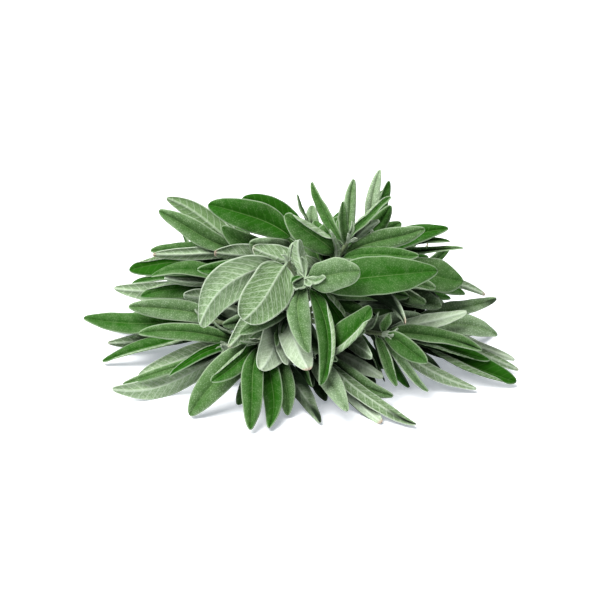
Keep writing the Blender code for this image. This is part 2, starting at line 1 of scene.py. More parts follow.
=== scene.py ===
# %% [markdown]
# # A bushy sprig of garden sage
# The real thing is one woody stem, cut from the bush and laid down, with leafy side shoots
# that fan out into a low mound. Nearly all that shows is leaves: long, felted, deep green
# above and pale below, where the veins stand up like fine cords. The loaded frame holds a
# plain solid for each shoot. This script lays the same leaves again, each with its veins,
# its felt and its soft white rim, and lets every finished shoot stand for its plain solid.

# %% Open the frame
import json
import math
import random

import bpy
import numpy as np
from mathutils import Matrix, Vector
from mathutils.bvhtree import BVHTree

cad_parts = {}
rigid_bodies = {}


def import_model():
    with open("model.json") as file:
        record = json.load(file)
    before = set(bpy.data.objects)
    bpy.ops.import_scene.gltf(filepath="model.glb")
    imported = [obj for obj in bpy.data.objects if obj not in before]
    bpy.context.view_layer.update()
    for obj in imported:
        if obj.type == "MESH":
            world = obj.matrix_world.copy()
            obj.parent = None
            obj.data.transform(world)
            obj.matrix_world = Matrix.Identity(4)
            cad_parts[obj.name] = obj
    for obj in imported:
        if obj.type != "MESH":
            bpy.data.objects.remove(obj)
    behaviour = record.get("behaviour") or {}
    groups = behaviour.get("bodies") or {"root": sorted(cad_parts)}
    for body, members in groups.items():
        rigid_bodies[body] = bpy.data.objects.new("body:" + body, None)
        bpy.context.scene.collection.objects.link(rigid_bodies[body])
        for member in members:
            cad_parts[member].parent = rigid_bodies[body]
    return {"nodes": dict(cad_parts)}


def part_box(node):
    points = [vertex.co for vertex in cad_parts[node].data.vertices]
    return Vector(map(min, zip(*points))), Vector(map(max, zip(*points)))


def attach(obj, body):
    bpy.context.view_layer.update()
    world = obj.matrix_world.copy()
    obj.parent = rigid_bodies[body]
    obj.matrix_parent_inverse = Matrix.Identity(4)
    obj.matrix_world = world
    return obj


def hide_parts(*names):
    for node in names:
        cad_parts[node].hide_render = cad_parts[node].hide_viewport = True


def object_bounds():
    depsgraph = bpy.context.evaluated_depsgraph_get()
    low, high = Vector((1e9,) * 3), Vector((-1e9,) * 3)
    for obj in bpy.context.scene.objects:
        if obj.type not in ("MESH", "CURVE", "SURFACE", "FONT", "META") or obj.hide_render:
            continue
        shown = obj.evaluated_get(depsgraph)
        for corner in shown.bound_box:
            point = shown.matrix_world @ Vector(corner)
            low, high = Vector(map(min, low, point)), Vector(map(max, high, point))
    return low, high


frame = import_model()
cad_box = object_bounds()
print("frame nodes:", len(frame["nodes"]), "box:", [round(v, 4) for v in (*cad_box[0], *cad_box[1])])

# %% [markdown]
# ## The way the mound is looked at
# The camera looks down on the mound at 30 degrees. Leaves are placed as they look from
# there: across to the right, risen up the tilted view, and near towards the eye. A place
# in these three numbers is easy to judge by eye, and three unit vectors turn it into the
# frame's own X, Y and Z. They count millimetres, and MM turns them into Blender's metres.

# %% The viewing frame
MM = 0.001
VIEW_TILT = math.radians(30.0)
ACROSS = Vector((1.0, 0.0, 0.0))
RISE = Vector((0.0, math.sin(VIEW_TILT), math.cos(VIEW_TILT)))
NEAR = Vector((0.0, -math.cos(VIEW_TILT), math.sin(VIEW_TILT)))


def place(across, rise, near):
    """A point of the laid-out heap in the upright frame: x right, y away, z up."""
    return ACROSS * across + RISE * rise + NEAR * near


print("seen from", round(math.degrees(VIEW_TILT)), "degrees above the surface")

# %% [markdown]
# ## Camera, light and floor
# The mound lies on white paper under a big soft light, with white all round, so that
# shadows are faint and only gather under the leaves. A long lens from far away keeps
# near and far leaves at one scale.

# %% Set the stage
EYE_DISTANCE = 2.4  # metres, as are all sizes in this cell but the aim
VIEW_WIDTH = 0.36
AIM = (0, 31.6, 25)  # the place that the camera looks at, in millimetres
FLOOR_SIZE = 8
ROOM_COLOUR = (0.92, 0.96, 1.0, 1.0)
ROOM_STRENGTH = 0.2


def aim(thing, target):
    """Turns a camera or a light so that it looks at the target."""
    thing.rotation_euler = (thing.location - target).to_track_quat("Z", "Y").to_euler()


def soft_light(name, place_m, target, size, watts):
    bpy.ops.object.light_add(type="AREA", location=place_m)
    light = bpy.context.object
    light.name = name
    light.data.size = size
    light.data.energy = watts
    aim(light, target)


centre = (Vector(cad_box[0]) + Vector(cad_box[1])) / 2
aim_point = MM * place(*AIM)
bpy.ops.object.camera_add(location=aim_point + NEAR * EYE_DISTANCE)
camera = bpy.context.object
camera.name = "camera"
camera.data.lens_unit = "FOV"
camera.data.angle = 2 * math.atan(VIEW_WIDTH / 2 / EYE_DISTANCE)
aim(camera, aim_point)
bpy.context.scene.camera = camera

soft_light("window_light", (-0.5, -0.3, 1.35), centre, size=1.1, watts=45)
soft_light("back_fill", (0.4, 0.7, 1.1), centre, size=1.0, watts=4)

bpy.ops.mesh.primitive_plane_add(size=FLOOR_SIZE, location=(0, 0, 0))
floor = bpy.context.object
floor.name = "floor"

world = bpy.data.worlds.new("white_room")
world.use_nodes = True
background = world.node_tree.nodes["Background"]
background.inputs["Color"].default_value = ROOM_COLOUR
background.inputs["Strength"].default_value = ROOM_STRENGTH
bpy.context.scene.world = world
bpy.context.scene.view_settings.view_transform = "Standard"
print("camera", [round(v, 3) for v in camera.location], "field", round(math.degrees(camera.data.angle), 1))

# %% [markdown]
# ## What drives the sizes
# All lengths below are in millimetres, as a grower would state them. A leaf is narrow at
# its stalk, then swells; a blade is thin, and shoots stand a hair's breadth clear of the
# woody stem that they grow from.

# %% Driving dimensions
MAIN_STEM_RADIUS = 3.0
MAIN_TIP_RADIUS = 1.5
SHOOT_ROOT_RADIUS = 1.5
SHOOT_TIP_RADIUS = 1.3
SHOOT_SAG = 0.1  # share of its length by which a shoot hangs before it bends up
SAG_AT = 0.55
BLADE_THICKNESS = 0.8
PETIOLE_HALF_WIDTH = 0.8
PETIOLE_SHARE = 0.08
TIP_HALF_WIDTH = 0.5
SWELL_LEAN = 0.86  # under 1 the blade is widest nearer its foot
FULLNESS = 0.62  # the lower, the blunter a blade's ends
TWIST_FREE_AT = 0.4  # share of the blade where its twist is nought
EARLY_PULL, LATE_PULL = 0.33, 0.7  # where along a blade its bow and curl pull on the midrib
ROOT_OFFSET = 0.9  # from the middle of a shoot's stem to the foot of a leaf
NODE_GAP = 0.35  # the room that two shoots keep between them
# Steps along the woody stem and along a shoot, where leaves are tested against them, and
# the step at which a shoot has left the woody stem.
MAIN_SEGMENTS, SHOOT_SEGMENTS, FIRST_CLEAR = 14, 10, 2
# Where a plain sheet bends: along a listed leaf, along a paired one, and across them.
STATIONS = (0.0, 0.12, 0.36, 0.72, 1.0)
PAIR_STATIONS = (0.0, 0.14, 0.6, 1.0)
FOLDED = (-1, 0, 1)
FLAT = (-1, 1)
SEED = 7

print("leaf blades are", BLADE_THICKNESS, "mm thick in the plain solids")

# %% [markdown]
# ## Where everything grows
# The woody stem rises from its cut end at the back to its tip at the front. The table
# lists each shoot: how far along the woody stem it starts, where its own tip is, and its
# leaves. These are placed one by one, because a mound of sage has no rule that the eye would
# accept: each leaf lies where the ones beneath let it.

# %% The woody stem and the shoots
# The main stem, from its cut end at the back to the leader's tip at the front.
MAIN_STEM = [
    (-6, 86, 2.6),
    (-4, 62, 2.7),
    (-2, 42, 6),
    (0, 22, 15),
    (0, 4, 27),
    (1, -10, 42),
    (2, -19, 55),
]

# Shoot: name, share of the way along the main stem where it starts, place of its tip.
# Leaf: share of the way along its shoot, place of its tip, width, bow, face.
# Bow arches the blade by that share of its length; face is how far it is rolled about its
# midrib, in degrees: 0 shows the eye its upper side and 180 its pale underside. A leaf of
# marked shape has a draw of its own: fold, twist, sweep, curl and the fullness of its ends.
# The others get a random one.
SHOOTS = {
    # the crown, which stands up
    "crown_right": (0.91, (27, 70, 49), [
        (0.96, (6, 106, 36), 8, 0.04, -25),
        (1.00, (31, 108, 28), 8, 0.02, 15, (14, 0, -0.02, 0.0, FULLNESS)),
        (0.96, (24, 94, 60), 8, 0.03, 40),
        (0.98, (53, 97, 40), 10, 0.06, -50),
        (1.00, (46, 83, 52), 6, 0.10, 175),
        (0.80, (-10, 86, 56), 19, 0.06, 10),
        (0.80, (73, 78, 42), 13, 0.06, -10),
        (0.76, (69, 62, 47), 12, 0.10, -40),
        (0.55, (58, 58, 30), 15, 0.04, -10),
        (0.60, (-29, 67, 48), 22, 0.00, -160),
        (0.55, (10, 68, 46), 9, 0.06, 30),
        (0.50, (-2, 84, 34), 15, 0.06, 20),
    ]),
    "crown_back": (0.47, (41, 74, 24), [
        (1.00, (47, 114, 14), 8, 0.04, 0),
        (0.97, (52, 107, 30), 10, 0.04, 20),
        (0.97, (49, 102, 6), 8, 0.06, -30),
        (0.90, (53, 92, 36), 11, 0.04, 0),
        (0.84, (88, 79, 14), 14, 0.06, -20),
        (0.80, (89, 71, 22), 9, 0.06, -50),
        (0.76, (97, 67, 15), 7, -0.06, -40),
        (0.80, (22, 84, 0), 13, 0.06, 20),
        (0.80, (60, 83, -6), 13, 0.06, 20),
        (0.60, (8, 84, -16), 14, 0.08, 40),
        (0.60, (72, 74, -22), 15, 0.08, -30),
        (0.50, (77, 62, 2), 13, 0.05, -10),
    ]),
    "crown_left": (0.63, (-3, 74, 20), [
        (0.95, (-56, 93, 22), 21, 0.06, 10),
        (0.80, (-31, 70, 38), 18, 0.04, -10),
        (0.70, (-52, 64, 34), 15, 0.08, 170),
        (0.80, (-16, 86, -8), 16, 0.08, 20),
        (0.70, (24, 86, -4), 15, 0.08, -20),
        (0.60, (-62, 54, 22), 16, 0.06, 20),
        (0.60, (-48, 80, 6), 16, 0.06, 10),
        (0.40, (20, 44, 8), 16, 0.02, 0),
        (0.50, (-40, 70, -2), 15, 0.05, 10),
    ]),
    "crown_front": (0.95, (-8, 59, 57), [
        (1.00, (-34, 24, 86), 28, -0.10, 178, (6, -8, 0.04, -0.06, 0.40)),
        (0.95, (-60, 21, 64), 25, -0.14, 165, (8, 10, -0.26, -0.04, 0.52)),
        (0.85, (-43, 8, 64), 15, 0.00, 170),
    ]),
    "leader": (1.00, (2, 49, 60), [
        (1.00, (34, 53, 78), 20, 0.08, 5, (6, 5, 0.0, -0.05, 0.5)),
        (0.85, (80, 53, 62), 24, 0.04, -10, (8, -10, 0.02, 0.04, 0.6)),
        (0.90, (4, 5, 87), 14, 0.10, 0, (10, -12, 0.14, 0.03, 0.6)),
        (0.80, (11, -14, 72), 15, 0.10, -20, (18, 8, -0.16, 0.02, 0.6)),
        (0.60, (27, 17, 44), 16, 0.08, -15, (20, -10, -0.10, 0.02, 0.6)),
        (0.50, (61, 22, 62), 14, 0.22, -148, (24, 10, 0.16, 0.06, 0.5)),
        (1.00, (16, 50, 72), 6, 0.15, -60),
        (1.00, (-6, 46, 74), 5, 0.15, 60),
        (0.45, (64, 38, 40), 16, 0.00, -10),
        (0.40, (46, 22, 36), 15, 0.06, -20),
        (0.95, (-2, 71, 66), 13, 0.04, 195, (35, 10, 0.05, 0.05, 0.5)),
    ]),
    "middle": (0.92, (-10, 31, 56), [
        (0.95, (4, -5, 77), 18, -0.06, 175, (8, -12, -0.05, -0.05, 0.5)),
        (0.85, (-8, -2, 68), 18, 0.04, 165, (10, 8, 0.04, 0.04, 0.55)),
        (0.80, (-24, -5, 76), 20, 0.06, 165, (10, 6, 0.06, -0.05, 0.55)),
        (0.60, (-38, 2, 44), 14, 0.05, 10),
        (0.70, (-36, 16, 60), 13, 0.05, 30),
    ]),
    # the fan of leaves along the front edge
    "front": (0.85, (-25, 12, 58), [
        (1.00, (-30, -40, 76), 14, 0.14, 0),
        (0.85, (-19, -39, 74), 13, 0.00, 20),
        (0.90, (-66, -32, 60), 20, 0.06, 10, (12, 6, 0.05, 0.0, 0.6)),
        (0.95, (-53, -12, 68), 14, 0.06, 10),
        (0.90, (11, -36, 68), 14, 0.04, 170),
        (0.75, (-8, -32, 60), 14, 0.05, 0),
        (0.70, (-38, -26, 46), 14, 0.05, 10),
    ]),
    "front_right": (0.78, (5, 6, 48), [
        (0.85, (47, -36, 66), 15, 0.06, 170),
        (1.00, (67, -37, 68), 11, 0.06, 140),
        (0.80, (27, -29, 58), 13, 0.06, 10),
        (0.95, (48, -28, 58), 9, 0.04, 160),
        (0.75, (48, -10, 48), 13, 0.04, 160),
        (0.65, (38, -19, 38), 14, 0.02, 10),
        (0.97, (41, 31, 66), 22, 0.06, -30, (10, 8, 0.28, 0.04, 0.45)),
        (0.60, (44, -14, 40), 16, 0.04, 0),
        (0.60, (14, -24, 46), 14, 0.05, 0),
        (0.90, (54, -21, 52), 12, 0.04, 0),
    ]),
    # the right-hand side
    "right_low": (0.66, (70, 20, 22), [
        (0.90, (128, -13, 30), 20, 0.05, -25, (14, 8, 0.09, -0.03, 0.6)),
        (0.90, (117, 15, 24), 16, 0.16, -30),
        (0.95, (128, 0, 14), 8, 0.04, 165),
        (1.00, (130, -6, 18), 8, 0.04, 170),
        (0.85, (118, 37, -8), 13, -0.05, -40),
        (0.80, (116, 16, -24), 15, 0.08, -50),
        (0.65, (96, 10, -10), 15, 0.08, -30),
        (0.85, (112, 6, 12), 14, 0.05, -20),
        (0.75, (108, -4, 14), 14, 0.02, -20),
    ]),
    "right_front": (0.82, (48, 16, 46), [
        (1.00, (74, -1, 56), 13, 0.06, 15),
        (0.95, (75, -18, 46), 8, 0.06, 40),
        (0.90, (56, -15, 48), 8, 0.06, -20),
        (1.00, (52, 28, 52), 6, 0.04, 0),
        (1.00, (98, 29, 40), 11, 0.08, 160),
        (0.95, (107, 6, 41), 13, 0.06, -30),
        (0.90, (112, 0, 32), 13, 0.00, -30),
        (0.90, (104, -17, 36), 9, 0.04, 165),
        (0.75, (86, -12, 34), 14, 0.06, 10),
        (0.65, (72, 26, 34), 15, 0.06, -10),
        (0.35, (36, -6, 30), 16, 0.04, 0),
        (0.55, (52, -4, 36), 15, 0.04, 0),
        (0.85, (64, -16, 32), 9, 0.05, 10),
    ]),
    "right_mid": (0.55, (60, 56, 14), [
        (0.95, (97, 47, 12), 22, 0.08, -15),
        (0.90, (111, 39, -4), 8, 0.05, 180),
        (0.80, (74, 34, 30), 12, 0.08, 10),
        (0.85, (80, 43, 26), 11, 0.08, 0),
        (0.90, (95, 50, -12), 14, 0.06, -30),
        (0.65, (100, 40, -34), 16, 0.08, -40),
        (0.70, (84, 32, 14), 16, 0.06, -20),
        (0.55, (76, 26, 4), 17, 0.00, -10),
    ]),
    # the left-hand side
    "upper_left": (0.43, (-36, 66, 6), [
        (0.95, (-82, 98, -14), 14, 0.05, 175),
        (1.00, (-86, 90, 4), 15, 0.05, 10),
        (0.90, (-58, 85, -10), 14, 0.06, 15),
        (0.90, (-104, 54, 4), 20, 0.04, 20, (10, -8, 0.02, 0.02, FULLNESS)),
        (0.95, (-89, 63, 20), 9, 0.06, 165, (20, 5, 0.0, 0.0, FULLNESS)),
        (0.80, (-92, 66, -20), 14, 0.06, 40),
        (0.75, (-44, 90, -22), 15, 0.06, 20),
        (0.65, (-74, 62, -34), 16, 0.08, 50),
    ]),
    "left_mid": (0.53, (-46, 47, 14), [
        (0.95, (-114, 43, -14), 14, 0.06, 175, (10, 5, 0.08, 0.0, FULLNESS)),
        (0.85, (-97, 38, 8), 15, 0.06, 30),
        (0.90, (-82, 49, 26), 8, 0.05, 165),
        (0.80, (-95, 36, 4), 12, 0.05, 160),
        (0.70, (-70, 39, 42), 13, 0.05, 175),
        (0.75, (-104, 46, -36), 15, 0.08, 50),
        (0.80, (-90, 50, 0), 15, 0.06, 30),
    ]),
    "left_low": (0.66, (-54, 23, 16), [
        (1.00, (-132, 25, -6), 15, 0.05, 25, (12, 0, -0.06, 0.02, FULLNESS)),
        (0.85, (-104, 32, 16), 14, 0.06, 10),
        (0.95, (-117, 10, 2), 11, 0.05, 160),
        (0.90, (-120, -1, 10), 13, 0.05, 35, (14, 6, -0.05, 0.0, FULLNESS)),
        (0.80, (-118, 20, -28), 15, 0.08, 50),
        (0.75, (-104, 6, 6), 14, 0.05, 10),
    ]),
    "left_front": (0.74, (-42, 9, 40), [
        (1.00, (-112, -17, 38), 16, 0.05, 160, (8, 6, 0.17, 0.0, 0.6)),
        (0.85, (-97, 16, 32), 12, 0.06, 15),
        (0.95, (-98, -10, 26), 14, 0.06, 165),
        (0.90, (-89, -9, 30), 8, 0.05, 150),
        (0.85, (-78, -9, 44), 9, 0.08, 40),
        (0.80, (-51, -6, 26), 13, 0.05, 175),
        (1.00, (-106, -14, 42), 7, 0.08, 20),
        (0.75, (-64, -10, 30), 13, 0.05, 10),
    ]),
    # the back, whose leaves stand in pairs
    "back_left": (0.27, (-62, 50, -38), []),
    "back_right": (0.27, (66, 47, -33), []),
    "back_mid": (0.37, (4, 70, -25), [
        (1.00, (-36, 98, -14), 20, 0.06, 20, (8, 5, 0.08, 0.0, 0.6)),
        (0.85, (-8, 86, -16), 15, 0.06, 10),
    ]),
}

# Every shoot also carries leaves that no row lists: opposite pairs, each a quarter turn on
# from the last, laid only where there is room. Name: pairs, length of the lowest leaf.
PAIRS = {
    "back_left": (5, 54),
    "back_right": (5, 54),
    "back_mid": (5, 52),
    "leader": (0, 0),
    "crown_front": (0, 0),
}
OTHER_PAIRS = (2, 46)
OTHER_PAIRS_END = 0.7  # shoots with listed leaves keep their upper part free of pairs
PAIRS_START = 0.35
PAIR_TAPER = 0.6  # the topmost pair's length against the lowest one's
PAIR_TURN, PAIR_TURN_START = 90, 20  # degrees about the stem
PAIR_SPREAD_LOW, PAIR_SPREAD_HIGH = 72, 28  # degrees from the stem, low down and at its tip
PAIR_DROOP = 0.12
PAIR_LEAN = 0.3
PAIR_WIDTH_SHARE = 0.28
PAIR_BOW = 0.08

# What a blade may be moved by, to lie clear of the rest: millimetres, bow and degrees.
NEAR_SHIFTS = (0, 3, -3, 6, -6, 9, -9, 13, -13, 17, -17, 22, -22)
BOW_SHIFTS = (0, 0.08, -0.08, 0.16, -0.16)
TURN_SHIFTS = (0, 20, -20, 40, -40)
PAIR_TURNS = (0, 20, -20, 40, -40)
PAIR_SPREADS = (0, 12, -12, 24, -24, 36)

# The random draw of a blade that has none of its own.
FOLD_LEAST, FOLD_MOST, FOLD_EXTRA = 4, 18, 22  # degrees; the extra one is rare
TWIST_MOST = 25  # degrees
SWEEP_MOST, CURL_MOST = 0.08, 0.07  # shares of the length

LEAST_SIDEWAYS = 0.3  # how far across the view a leaf must lie for its face to be set by it

print(len(SHOOTS), "shoots with", sum(len(rows) for _, _, rows in SHOOTS.values()), "listed leaves")

# %% [markdown]
# ## Lines that stems follow
# A stem sags a little between its root and its tip, which a curve on three control points
# gives. The woody stem has more bends, so a smooth line runs through all of its points.

# %% Curves for stems
def mix(a, b, share):
    return a + (b - a) * share


def bezier(points, share):
    """A point on the curve that these control points pull on."""
    while len(points) > 1:
        points = [mix(a, b, share) for a, b in zip(points, points[1:])]
    return points[0]


def along_main(share):
    """A point on the smooth line through MAIN_STEM, by share of its length."""
    knots = [Vector(p) for p in MAIN_STEM]
    lengths = [(b - a).length for a, b in zip(knots, knots[1:])]
    way = share * sum(lengths)
    k = 0
    while k < len(lengths) - 1 and way > lengths[k]:
        way -= lengths[k]
        k += 1
    t = way / lengths[k]
    p0, p1 = knots[max(k - 1, 0)], knots[k]
    p2, p3 = knots[k + 1], knots[min(k + 2, len(knots) - 1)]
    return 0.5 * (
        2 * p1
        + (p2 - p0) * t
        + (2 * p0 - 5 * p1 + 4 * p2 - p3) * t**2
        + (3 * p1 - p0 - 3 * p2 + p3) * t**3
    )


def shoot_line(name):
    """Control points of a shoot's stem: it leaves the main stem low and then bends up."""
    root_share, tip, _ = SHOOTS[name]
    root = along_main(root_share)
    end = place(*tip)
    if root_share == 1.0:
        root = root + (end - root).normalized() * NODE_GAP * 2
    sag = SHOOT_SAG * (end - root).length
    return [root, mix(root, end, SAG_AT) - Vector((0, 0, sag)), end]


def heading_at(line, share, step=0.05):
    return (bezier(line, min(share + step, 1)) - bezier(line, max(share - step, 0))).normalized()


print("the woody stem ends", round(along_main(1.0).z), "mm up")

# %% [markdown]
# ## The form of one leaf
# A leaf is described by its foot, its tip and the way its upper side faces. Its midrib is
# a bow between the two, its halves are folded up along the midrib, and the blade twists
# a little on the way to its tip, as drying leaves do.

# %% A leaf's form
class Leaf:
    """A blade between two points, whose upper side faces `up`.

    Its midrib bows by that share of its length. Its draw is how far its halves fold up, how
    far it twists and sweeps aside on its way, how far its outer half curls up, and how full
    its ends are.
    """

    def __init__(self, base, tip, up, width, bow, draw, stations=STATIONS, columns=FOLDED):
        self.base = base
        self.tip = tip
        self.width = width
        self.bow = bow
        self.fold, self.twist, self.sweep, self.curl, self.fullness = draw
        self.stations = stations
        self.columns = columns
        chord = tip - base
        self.length = chord.length
        self.way = chord / self.length
        self.up = (up - self.way * up.dot(self.way)).normalized()
        self.side = self.way.cross(self.up)

    def midrib(self, s):
        lift = (self.up * self.bow + self.side * self.sweep) * self.length
        curl = self.up * (self.curl * self.length)
        early = mix(self.base, self.tip, EARLY_PULL) + lift - curl
        late = mix(self.base, self.tip, LATE_PULL) + lift + curl
        return bezier([self.base, early, late, self.tip], s)

    def half_width(self, s):
        """A narrow petiole, then a long blade that is widest a little under half way."""
        if s <= PETIOLE_SHARE:
            return PETIOLE_HALF_WIDTH
        t = (s - PETIOLE_SHARE) / (1 - PETIOLE_SHARE)
        swell = math.sin(math.pi * t**SWELL_LEAN) ** self.fullness if t < 1 else 0.0
        spare = self.width / 2 - PETIOLE_HALF_WIDTH
        return mix(PETIOLE_HALF_WIDTH, TIP_HALF_WIDTH, t) + spare * swell

    def point(self, s, u, step=0.01):
        """A point of the blade's middle surface: s along it, u from -1 to 1 across it."""
        heading = (self.midrib(min(s + step, 1)) - self.midrib(max(s - step, 0))).normalized()
        turn = Matrix.Rotation(self.twist * (s - TWIST_FREE_AT), 3, heading)
        side = turn @ self.side
        up = side.cross(heading)
        reach = self.half_width(s)
        return (
            self.midrib(s)
            + side * (u * reach * math.cos(self.fold))
            + up * (abs(u) * reach * math.sin(self.fold))
        )

    def rows(self):
        return [[self.point(s, u) for u in self.columns] for s in self.stations]


def sheets(leaf, thickness):
    """Both faces and the rim of a blade as triangles, for testing what it would run through."""
    rows, wide = leaf.rows(), len(leaf.columns)
    points, faces = [], []
    for sign in (0.5, -0.5):
        for i, row in enumerate(rows):
            ahead, behind = rows[min(i + 1, len(rows) - 1)], rows[max(i - 1, 0)]
            onward = ahead[0] + ahead[-1] - behind[0] - behind[-1]
            normal = (row[-1] - row[0]).cross(onward).normalized()
            points += [p + normal * (thickness * sign) for p in row]
    under = wide * len(rows)
    for i in range(len(rows) - 1):
        start = wide * i
        for a in range(start, start + wide - 1):
            for layer in (a, a + under):
                faces.append((layer, layer + 1, layer + 1 + wide))
                faces.append((layer, layer + 1 + wide, layer + wide))
        for a in (start, start + wide - 1):
            faces += [(a, a + wide, a + wide + under), (a, a + wide + under, a + under)]
    return points, faces


print("a blade has", len(FOLDED) * len(STATIONS), "guide points a side")

# %% [markdown]
# ## Trying a leaf
# A leaf in a heap lies where its neighbours let it. Each is tried in the place that the
# table gives. If its blade would run through another shoot or the surface, it is moved,
# bowed or turned a little more each time until it lies clear, as a hand would nudge it. A
# tree of triangles answers quickly whether two blades cross.

# %% Try a leaf
class Heap:
    """All that is laid so far, shoot by shoot, as triangles that a new leaf is tested against."""

    def __init__(self):
        self.triangles = {}

    def add(self, shoot, points, faces):
        kept = self.triangles.setdefault(shoot, ([], []))
        start = len(kept[0])
        kept[0].extend(points)
        kept[1].extend([tuple(start + v for v in face) for face in faces])

    def tree(self, shoots):
        points, faces = [], []
        for shoot in shoots:
            start = len(points)
            points += self.triangles[shoot][0]
            faces += [tuple(start + v for v in face) for face in self.triangles[shoot][1]]
        return BVHTree.FromPolygons(points, faces) if faces else None


def listed_leaf(line, row, draw, near_shift, bow_shift, turn_shift):
    """The leaf that a row of SHOOTS describes, moved by these shifts."""
    at, tip, width, bow, face = row[:5]
    base, axis = bezier(line, at), heading_at(line, at)
    end = place(tip[0], tip[1], tip[2] + near_shift)
    way = (end - base).normalized()
    base = base + (way - axis * way.dot(axis)) * ROOT_OFFSET
    eye = NEAR - way * NEAR.dot(way)
    if eye.length < LEAST_SIDEWAYS:  # the leaf points almost at the eye
        eye = RISE - way * RISE.dot(way)
    up = Matrix.Rotation(math.radians(face + turn_shift), 3, way) @ eye.normalized()
    return Leaf(base, end, up, width, bow + bow_shift, draw)


def paired_leaf(line, at, quarter, length, draw, turn_shift, spread_shift):
    """A leaf of the pair rule: it leaves the stem sideways and its upper side faces the tip."""
    base, axis = bezier(line, at), heading_at(line, at)
    across = axis.cross(Vector((0, 0, 1))).normalized()
    out = Matrix.Rotation(math.radians(quarter + turn_shift), 3, axis) @ across
    spread = math.radians(mix(PAIR_SPREAD_LOW, PAIR_SPREAD_HIGH, at) + spread_shift)
    way = axis * math.cos(spread) + out * math.sin(spread) - Vector((0, 0, PAIR_DROOP))
    base = base + out * ROOT_OFFSET
    tip = base + way.normalized() * length
    width = length * PAIR_WIDTH_SHARE
    up = axis - out * PAIR_LEAN
    return Leaf(base, tip, up, width, PAIR_BOW, draw, PAIR_STATIONS, FLAT)


def by_size(*choices):
    """Every combination of these shifts, the smallest first."""
    combos = [()]
    for options in choices:
        biggest = max(abs(o) for o in options)
        combos = [c + ((o, abs(o) / biggest),) for c in combos for o in options]
    combos.sort(key=lambda c: sum(size for _, size in c))
    return [tuple(value for value, _ in c) for c in combos]


def clear_leaf(candidates, others, own):
    """The first candidate that runs through nothing: no other shoot, the ground or, if that
    can be had, its own shoot's other blades past its foot."""
    fallback = None
    for leaf in candidates:
        points, faces = sheets(leaf, BLADE_THICKNESS + 2 * NODE_GAP)
        if min(p.z for p in points) < NODE_GAP:
            continue
        tree = BVHTree.FromPolygons(points, faces)
        if others and tree.overlap(others):
            continue
        if own is None or not tree.overlap(own):
            return leaf
        if fallback is None:
            fallback = leaf
    return fallback


print("a listed leaf has", len(by_size(NEAR_SHIFTS, BOW_SHIFTS, TURN_SHIFTS)), "places to try")

# %% [markdown]
# ## Laying the leaves
# The listed leaves are laid first, shoot by shoot. Opposite pairs, each a quarter turn on
# from the last, then fill the shoots lower down. The draws are seeded, so every run gives
# the same mound, and it is the mound that the plain solids show.

# %% Lay the leaves
def draw_for(name, k, own=()):
    """How leaf k of a shoot is drawn out of the plain form, at random unless it has its own:
    fold and twist in degrees, sweep and curl as shares of its length, and its fullness."""
    rng = random.Random(f"{name} {k} {SEED}")
    by_chance = (
        rng.uniform(FOLD_LEAST, FOLD_MOST) + FOLD_EXTRA * rng.random() ** 3,
        rng.uniform(-TWIST_MOST, TWIST_MOST),
        rng.uniform(-SWEEP_MOST, SWEEP_MOST),
        rng.uniform(-CURL_MOST, CURL_MOST),
        FULLNESS,
    )
    fold, twist, *rest = own or by_chance
    return math.radians(fold), math.radians(twist), *rest


def blade_beyond_foot(leaf):
    """The blade's triangles without its petiole, which may share its foot with a neighbour."""
    points, faces = sheets(leaf, BLADE_THICKNESS)
    wide = len(leaf.columns)
    foot = {i for i, _ in enumerate(points) if i % (wide * len(leaf.stations)) < wide}
    return points, [f for f in faces if not foot & set(f)]


def lay_heap():
    """Every leaf of every shoot, each bent clear of the shoots and leaves laid before it."""
    heap = Heap()
    main_points = [along_main(k / MAIN_SEGMENTS) for k in range(MAIN_SEGMENTS + 1)]
    heap.add("main_stem", *tube_triangles(main_points, MAIN_STEM_RADIUS))
    for name in SHOOTS:
        line = shoot_line(name)
        steps = range(FIRST_CLEAR, SHOOT_SEGMENTS + 1)
        clear_of_main = [bezier(line, k / SHOOT_SEGMENTS) for k in steps]
        heap.add(name, *tube_triangles(clear_of_main, SHOOT_ROOT_RADIUS))
    leaves = {name: [] for name in SHOOTS}
    blades = {name: Heap() for name in SHOOTS}

    def lay(name, candidates):
        others = heap.tree([n for n in heap.triangles if n != name])
        own = blades[name].tree([name]) if leaves[name] else None
        leaf = clear_leaf(candidates, others, own)
        if leaf:
            leaves[name].append(leaf)
            heap.add(name, *sheets(leaf, BLADE_THICKNESS))
            blades[name].add(name, *blade_beyond_foot(leaf))
        return leaf

    for name, (_, _, rows) in SHOOTS.items():
        line = shoot_line(name)
        for k, row in enumerate(rows):
            draw = draw_for(name, k, *row[5:])
            shifts = by_size(NEAR_SHIFTS, BOW_SHIFTS, TURN_SHIFTS)
            if not lay(name, (listed_leaf(line, row, draw, *shift) for shift in shifts)):
                print("no room for", name, k)
    for name in SHOOTS:
        line = shoot_line(name)
        count, longest = PAIRS.get(name, OTHER_PAIRS)
        highest = 1.0 if name in PAIRS else OTHER_PAIRS_END
        for k in range(count):
            up_the_stem = k / max(count - 1, 1)
            at = mix(PAIRS_START, highest, up_the_stem)
            length = longest * mix(1.0, PAIR_TAPER, up_the_stem)
            for side in (0, 180):
                draw = draw_for(name, len(leaves[name]))
                quarter = PAIR_TURN * k + side + PAIR_TURN_START
                shifts = by_size(PAIR_TURNS, PAIR_SPREADS)
                lay(name, (paired_leaf(line, at, quarter, length, draw, *shift) for shift in shifts))
    return leaves


